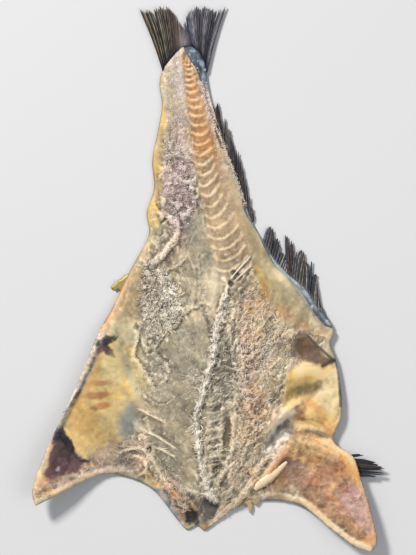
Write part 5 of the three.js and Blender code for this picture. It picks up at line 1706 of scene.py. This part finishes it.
# Bones and cords that stand clear of the flesh: line in pixels, radii in mm along it, lift in mm, colour.
BONES = {
    "collar_knob": ([(254, 489), (260, 484), (268, 478), (277, 471), (287, 462)],
                    [3.6, 6.6, 6.8, 5.4, 2.4], -1.6, (254, 226, 184)),
    "long_splinter": ([(230.8, 278.4), (240, 267.5), (249.9, 256.7)],
                      [0.5, 0.85, 0.45], 2.2, (246, 240, 226)),
    "short_splinter": (SHORT_SPLINTER, [0.5, 0.8, 0.45], 2.0, (240, 228, 206)),
    "throat_cord": ([(256, 471), (250, 482), (243, 492), (234, 501), (224, 511), (213, 522)],
                    [1.2, 3.0, 3.4, 2.8, 3.2, 1.6], -1.4, (206, 180, 158)),
    "left_throat_cord": ([(157, 464), (166, 474), (175, 483), (184, 491)],
                         [1.0, 2.8, 3.0, 1.4], -1.4, (196, 166, 146)),
    "upper_rib": ([(139.5, 410), (152, 416), (163, 421.5)], [0.5, 1.0, 0.5], 0.7, (226, 206, 170)),
    "middle_rib": ([(146.5, 432.5), (158, 437), (170.5, 445)], [0.5, 1.1, 0.5], 0.8, (226, 206, 172)),
    "lower_rib": ([(156, 448), (165, 451), (174.5, 456.5)], [0.5, 1.0, 0.5], 0.7, (222, 202, 172)),
}
BONE_SIDES = 12


def make_bones(surface):
    """Round bones and cords as one piece, lumpy along their length."""
    random = np.random.RandomState(55)
    parts = []
    for line, radii, lift, colour in BONES.values():
        path = spline(to_mm(line), 7)
        t = np.linspace(0, 1, len(path))
        radius = np.interp(t, np.linspace(0, 1, len(radii)), radii) * random.uniform(0.9, 1.1, len(path))
        direction = np.gradient(path, axis=0)
        direction /= np.hypot(direction[:, 0], direction[:, 1])[:, None]
        across = np.stack([-direction[:, 1], direction[:, 0]], axis=1)
        base = surface.height(path[:, 0], path[:, 1])
        base = 0.5 * base + 0.5 * np.interp(t, [0, 1], [base[0], base[-1]]) + lift
        rings = []
        for k in range(BONE_SIDES):
            a = k / BONE_SIDES * 2 * math.pi
            spot = path + across * (math.cos(a) * radius)[:, None]
            rings.append(np.column_stack([spot, base + math.sin(a) * radius * 0.8]))
        points = np.stack(rings, axis=1).reshape(-1, 3)
        faces = []
        for j in range(len(path) - 1):
            for k in range(BONE_SIDES):
                m = (k + 1) % BONE_SIDES
                a, b = j * BONE_SIDES, (j + 1) * BONE_SIDES
                faces.append([a + m, b + m, b + k, a + k])
        faces.append(list(range(BONE_SIDES)))
        faces.append([(len(path) - 1) * BONE_SIDES + k for k in range(BONE_SIDES)][::-1])
        tone = 1 + 0.25 * rough(points[:, 0], points[:, 1], 5, 501)
        parts.append((points, faces, linear(colour)[None, :] * tone[:, None]))
    return joined("bare_bones", parts, dried_material("bone", 0.34, 1.4, 0.25, 0.15, 0.3))


# Rags of yellow fat at the rim: outline in pixels, height of the upper face, colour.
FAT_RAGS = [
    ("left_fat_rag", [(128, 273), (123, 276), (120, 279), (116, 281), (113, 284), (110, 288), (113, 289),
                      (115, 291), (118, 289), (121, 291), (124, 287), (127, 283),
                       (131, 277)], 5.0, "green fat"),
    ("nape_fat_rag", [(240, 492), (242, 500), (240, 507), (245, 505), (248, 508), (250, 514),
     (253, 508), (252, 503),
                      (256, 506), (260, 502), (263, 491), (252, 484)], 6.0, "yellow tan"),
]


def make_fat_rag(name, corners, height, colour):
    """A lumpy rag of fat at the rim."""
    outline = spline(to_mm(corners + corners[:1]), 3)[:-1]
    plan = Plan(0.8, outline.min(axis=0), outline.max(axis=0))
    x, y = plan.x, plan.y
    depth = np.clip(polygon_depth(x, y, outline, 8) / 6, 0, 1)
    top = height - 2.2 * (1 - np.sqrt(1 - np.square(1 - depth))) + 0.5 * rough(x, y, 5, 401)
    tint = plain_tint(x, COLOURS[colour])
    mix_into(tint, (120, 112, 70), 0.4 * unit_steps(0, 0.6, rough(x, y, 4, 403)))
    piece = sheet_mesh(name, outline, plan, top, 0 * x + height - 3.6, tint)
    return finished(piece, dried_material(name.replace("_", " "), 0.35, 1.4, 0.3, 0.1, 0.3))


surface = make_flesh()
make_skin()
make_skin_band()
# One run of random numbers serves the three, in this order.
loose_random = np.random.RandomState(77)
for make_loose in (make_fibres, make_scraps, make_salt):
    make_loose(loose_random, surface)
make_bones(surface)
for rag in FAT_RAGS:
    make_fat_rag(*rag)
fin_material = dried_material("dried fin", 0.42, 1.6, 0.4, 0.25, 0.1)
for fin_name, fin_shape in FINS.items():
    make_fin(fin_name, fin_shape, fin_material)


# The camera looks straight down, with the tail at the top of the picture, and sees what the photograph shows.
CAMERA_HEIGHT = 2.5
MEAN_FLESH_HEIGHT = 0.012
PHOTO_HEIGHT = 555
PHOTO_MIDDLE_X = 208.0
FRAME_HEIGHT = PHOTO_HEIGHT * MM_PER_PIXEL * METRES
CAMERA_X = (PHOTO_MIDDLE_X - PHOTO_CENTRE[0]) * MM_PER_PIXEL * METRES
SENSOR_MM = 36.0
camera_data = bpy.data.cameras.new("camera")
camera_data.sensor_fit = "VERTICAL"
camera_data.sensor_height = SENSOR_MM
camera_data.lens = SENSOR_MM * (CAMERA_HEIGHT - MEAN_FLESH_HEIGHT) / FRAME_HEIGHT
camera = bpy.data.objects.new("camera", camera_data)
camera.location = (CAMERA_X, 0, CAMERA_HEIGHT)
bpy.context.scene.collection.objects.link(camera)
bpy.context.scene.camera = camera


def soft_light(name, place, size, power, colour):
    """A square lamp that faces the fish."""
    data = bpy.data.lights.new(name, "AREA")
    data.energy = power
    data.size = size
    data.color = colour
    lamp = bpy.data.objects.new(name, data)
    lamp.location = place
    lamp.rotation_euler = (Vector((0, 0, 0)) - Vector(place)).to_track_quat("-Z", "Y").to_euler()
    bpy.context.scene.collection.objects.link(lamp)


soft_light("key", (-2.8, 3.0, 3.9), 1.1, 300, (1.0, 0.98, 0.95))
soft_light("fill", (1.5, -0.6, 1.9), 1.6, 12, (0.94, 0.97, 1.0))

world = bpy.data.worlds.new("studio")
world.use_nodes = True
world.node_tree.nodes["Background"].inputs["Color"].default_value = (0.95, 0.97, 1.0, 1)
world.node_tree.nodes["Background"].inputs["Strength"].default_value = 0.3
bpy.context.scene.world = world
bpy.context.scene.view_settings.view_transform = "Standard"

# The floor lies just under the fish.
FLOOR_HALF = 3
FLOOR_Z = -0.0003
floor_corners = [(FLOOR_HALF * i, FLOOR_HALF * j, FLOOR_Z) for i, j in ((-1, -1), (1, -1), (1, 1), (-1, 1))]
floor_mesh = bpy.data.meshes.new("floor")
floor_mesh.from_pydata(floor_corners, [], [(0, 1, 2, 3)])
floor = bpy.data.objects.new("floor", floor_mesh)
bpy.context.scene.collection.objects.link(floor)
floor_material = bpy.data.materials.new("pale floor")
floor_material.use_nodes = True
floor_material.node_tree.nodes["Principled BSDF"].inputs["Base Color"].default_value = (0.74, 0.74, 0.75, 1)
floor_material.node_tree.nodes["Principled BSDF"].inputs["Roughness"].default_value = 0.8
floor_mesh.materials.append(floor_material)
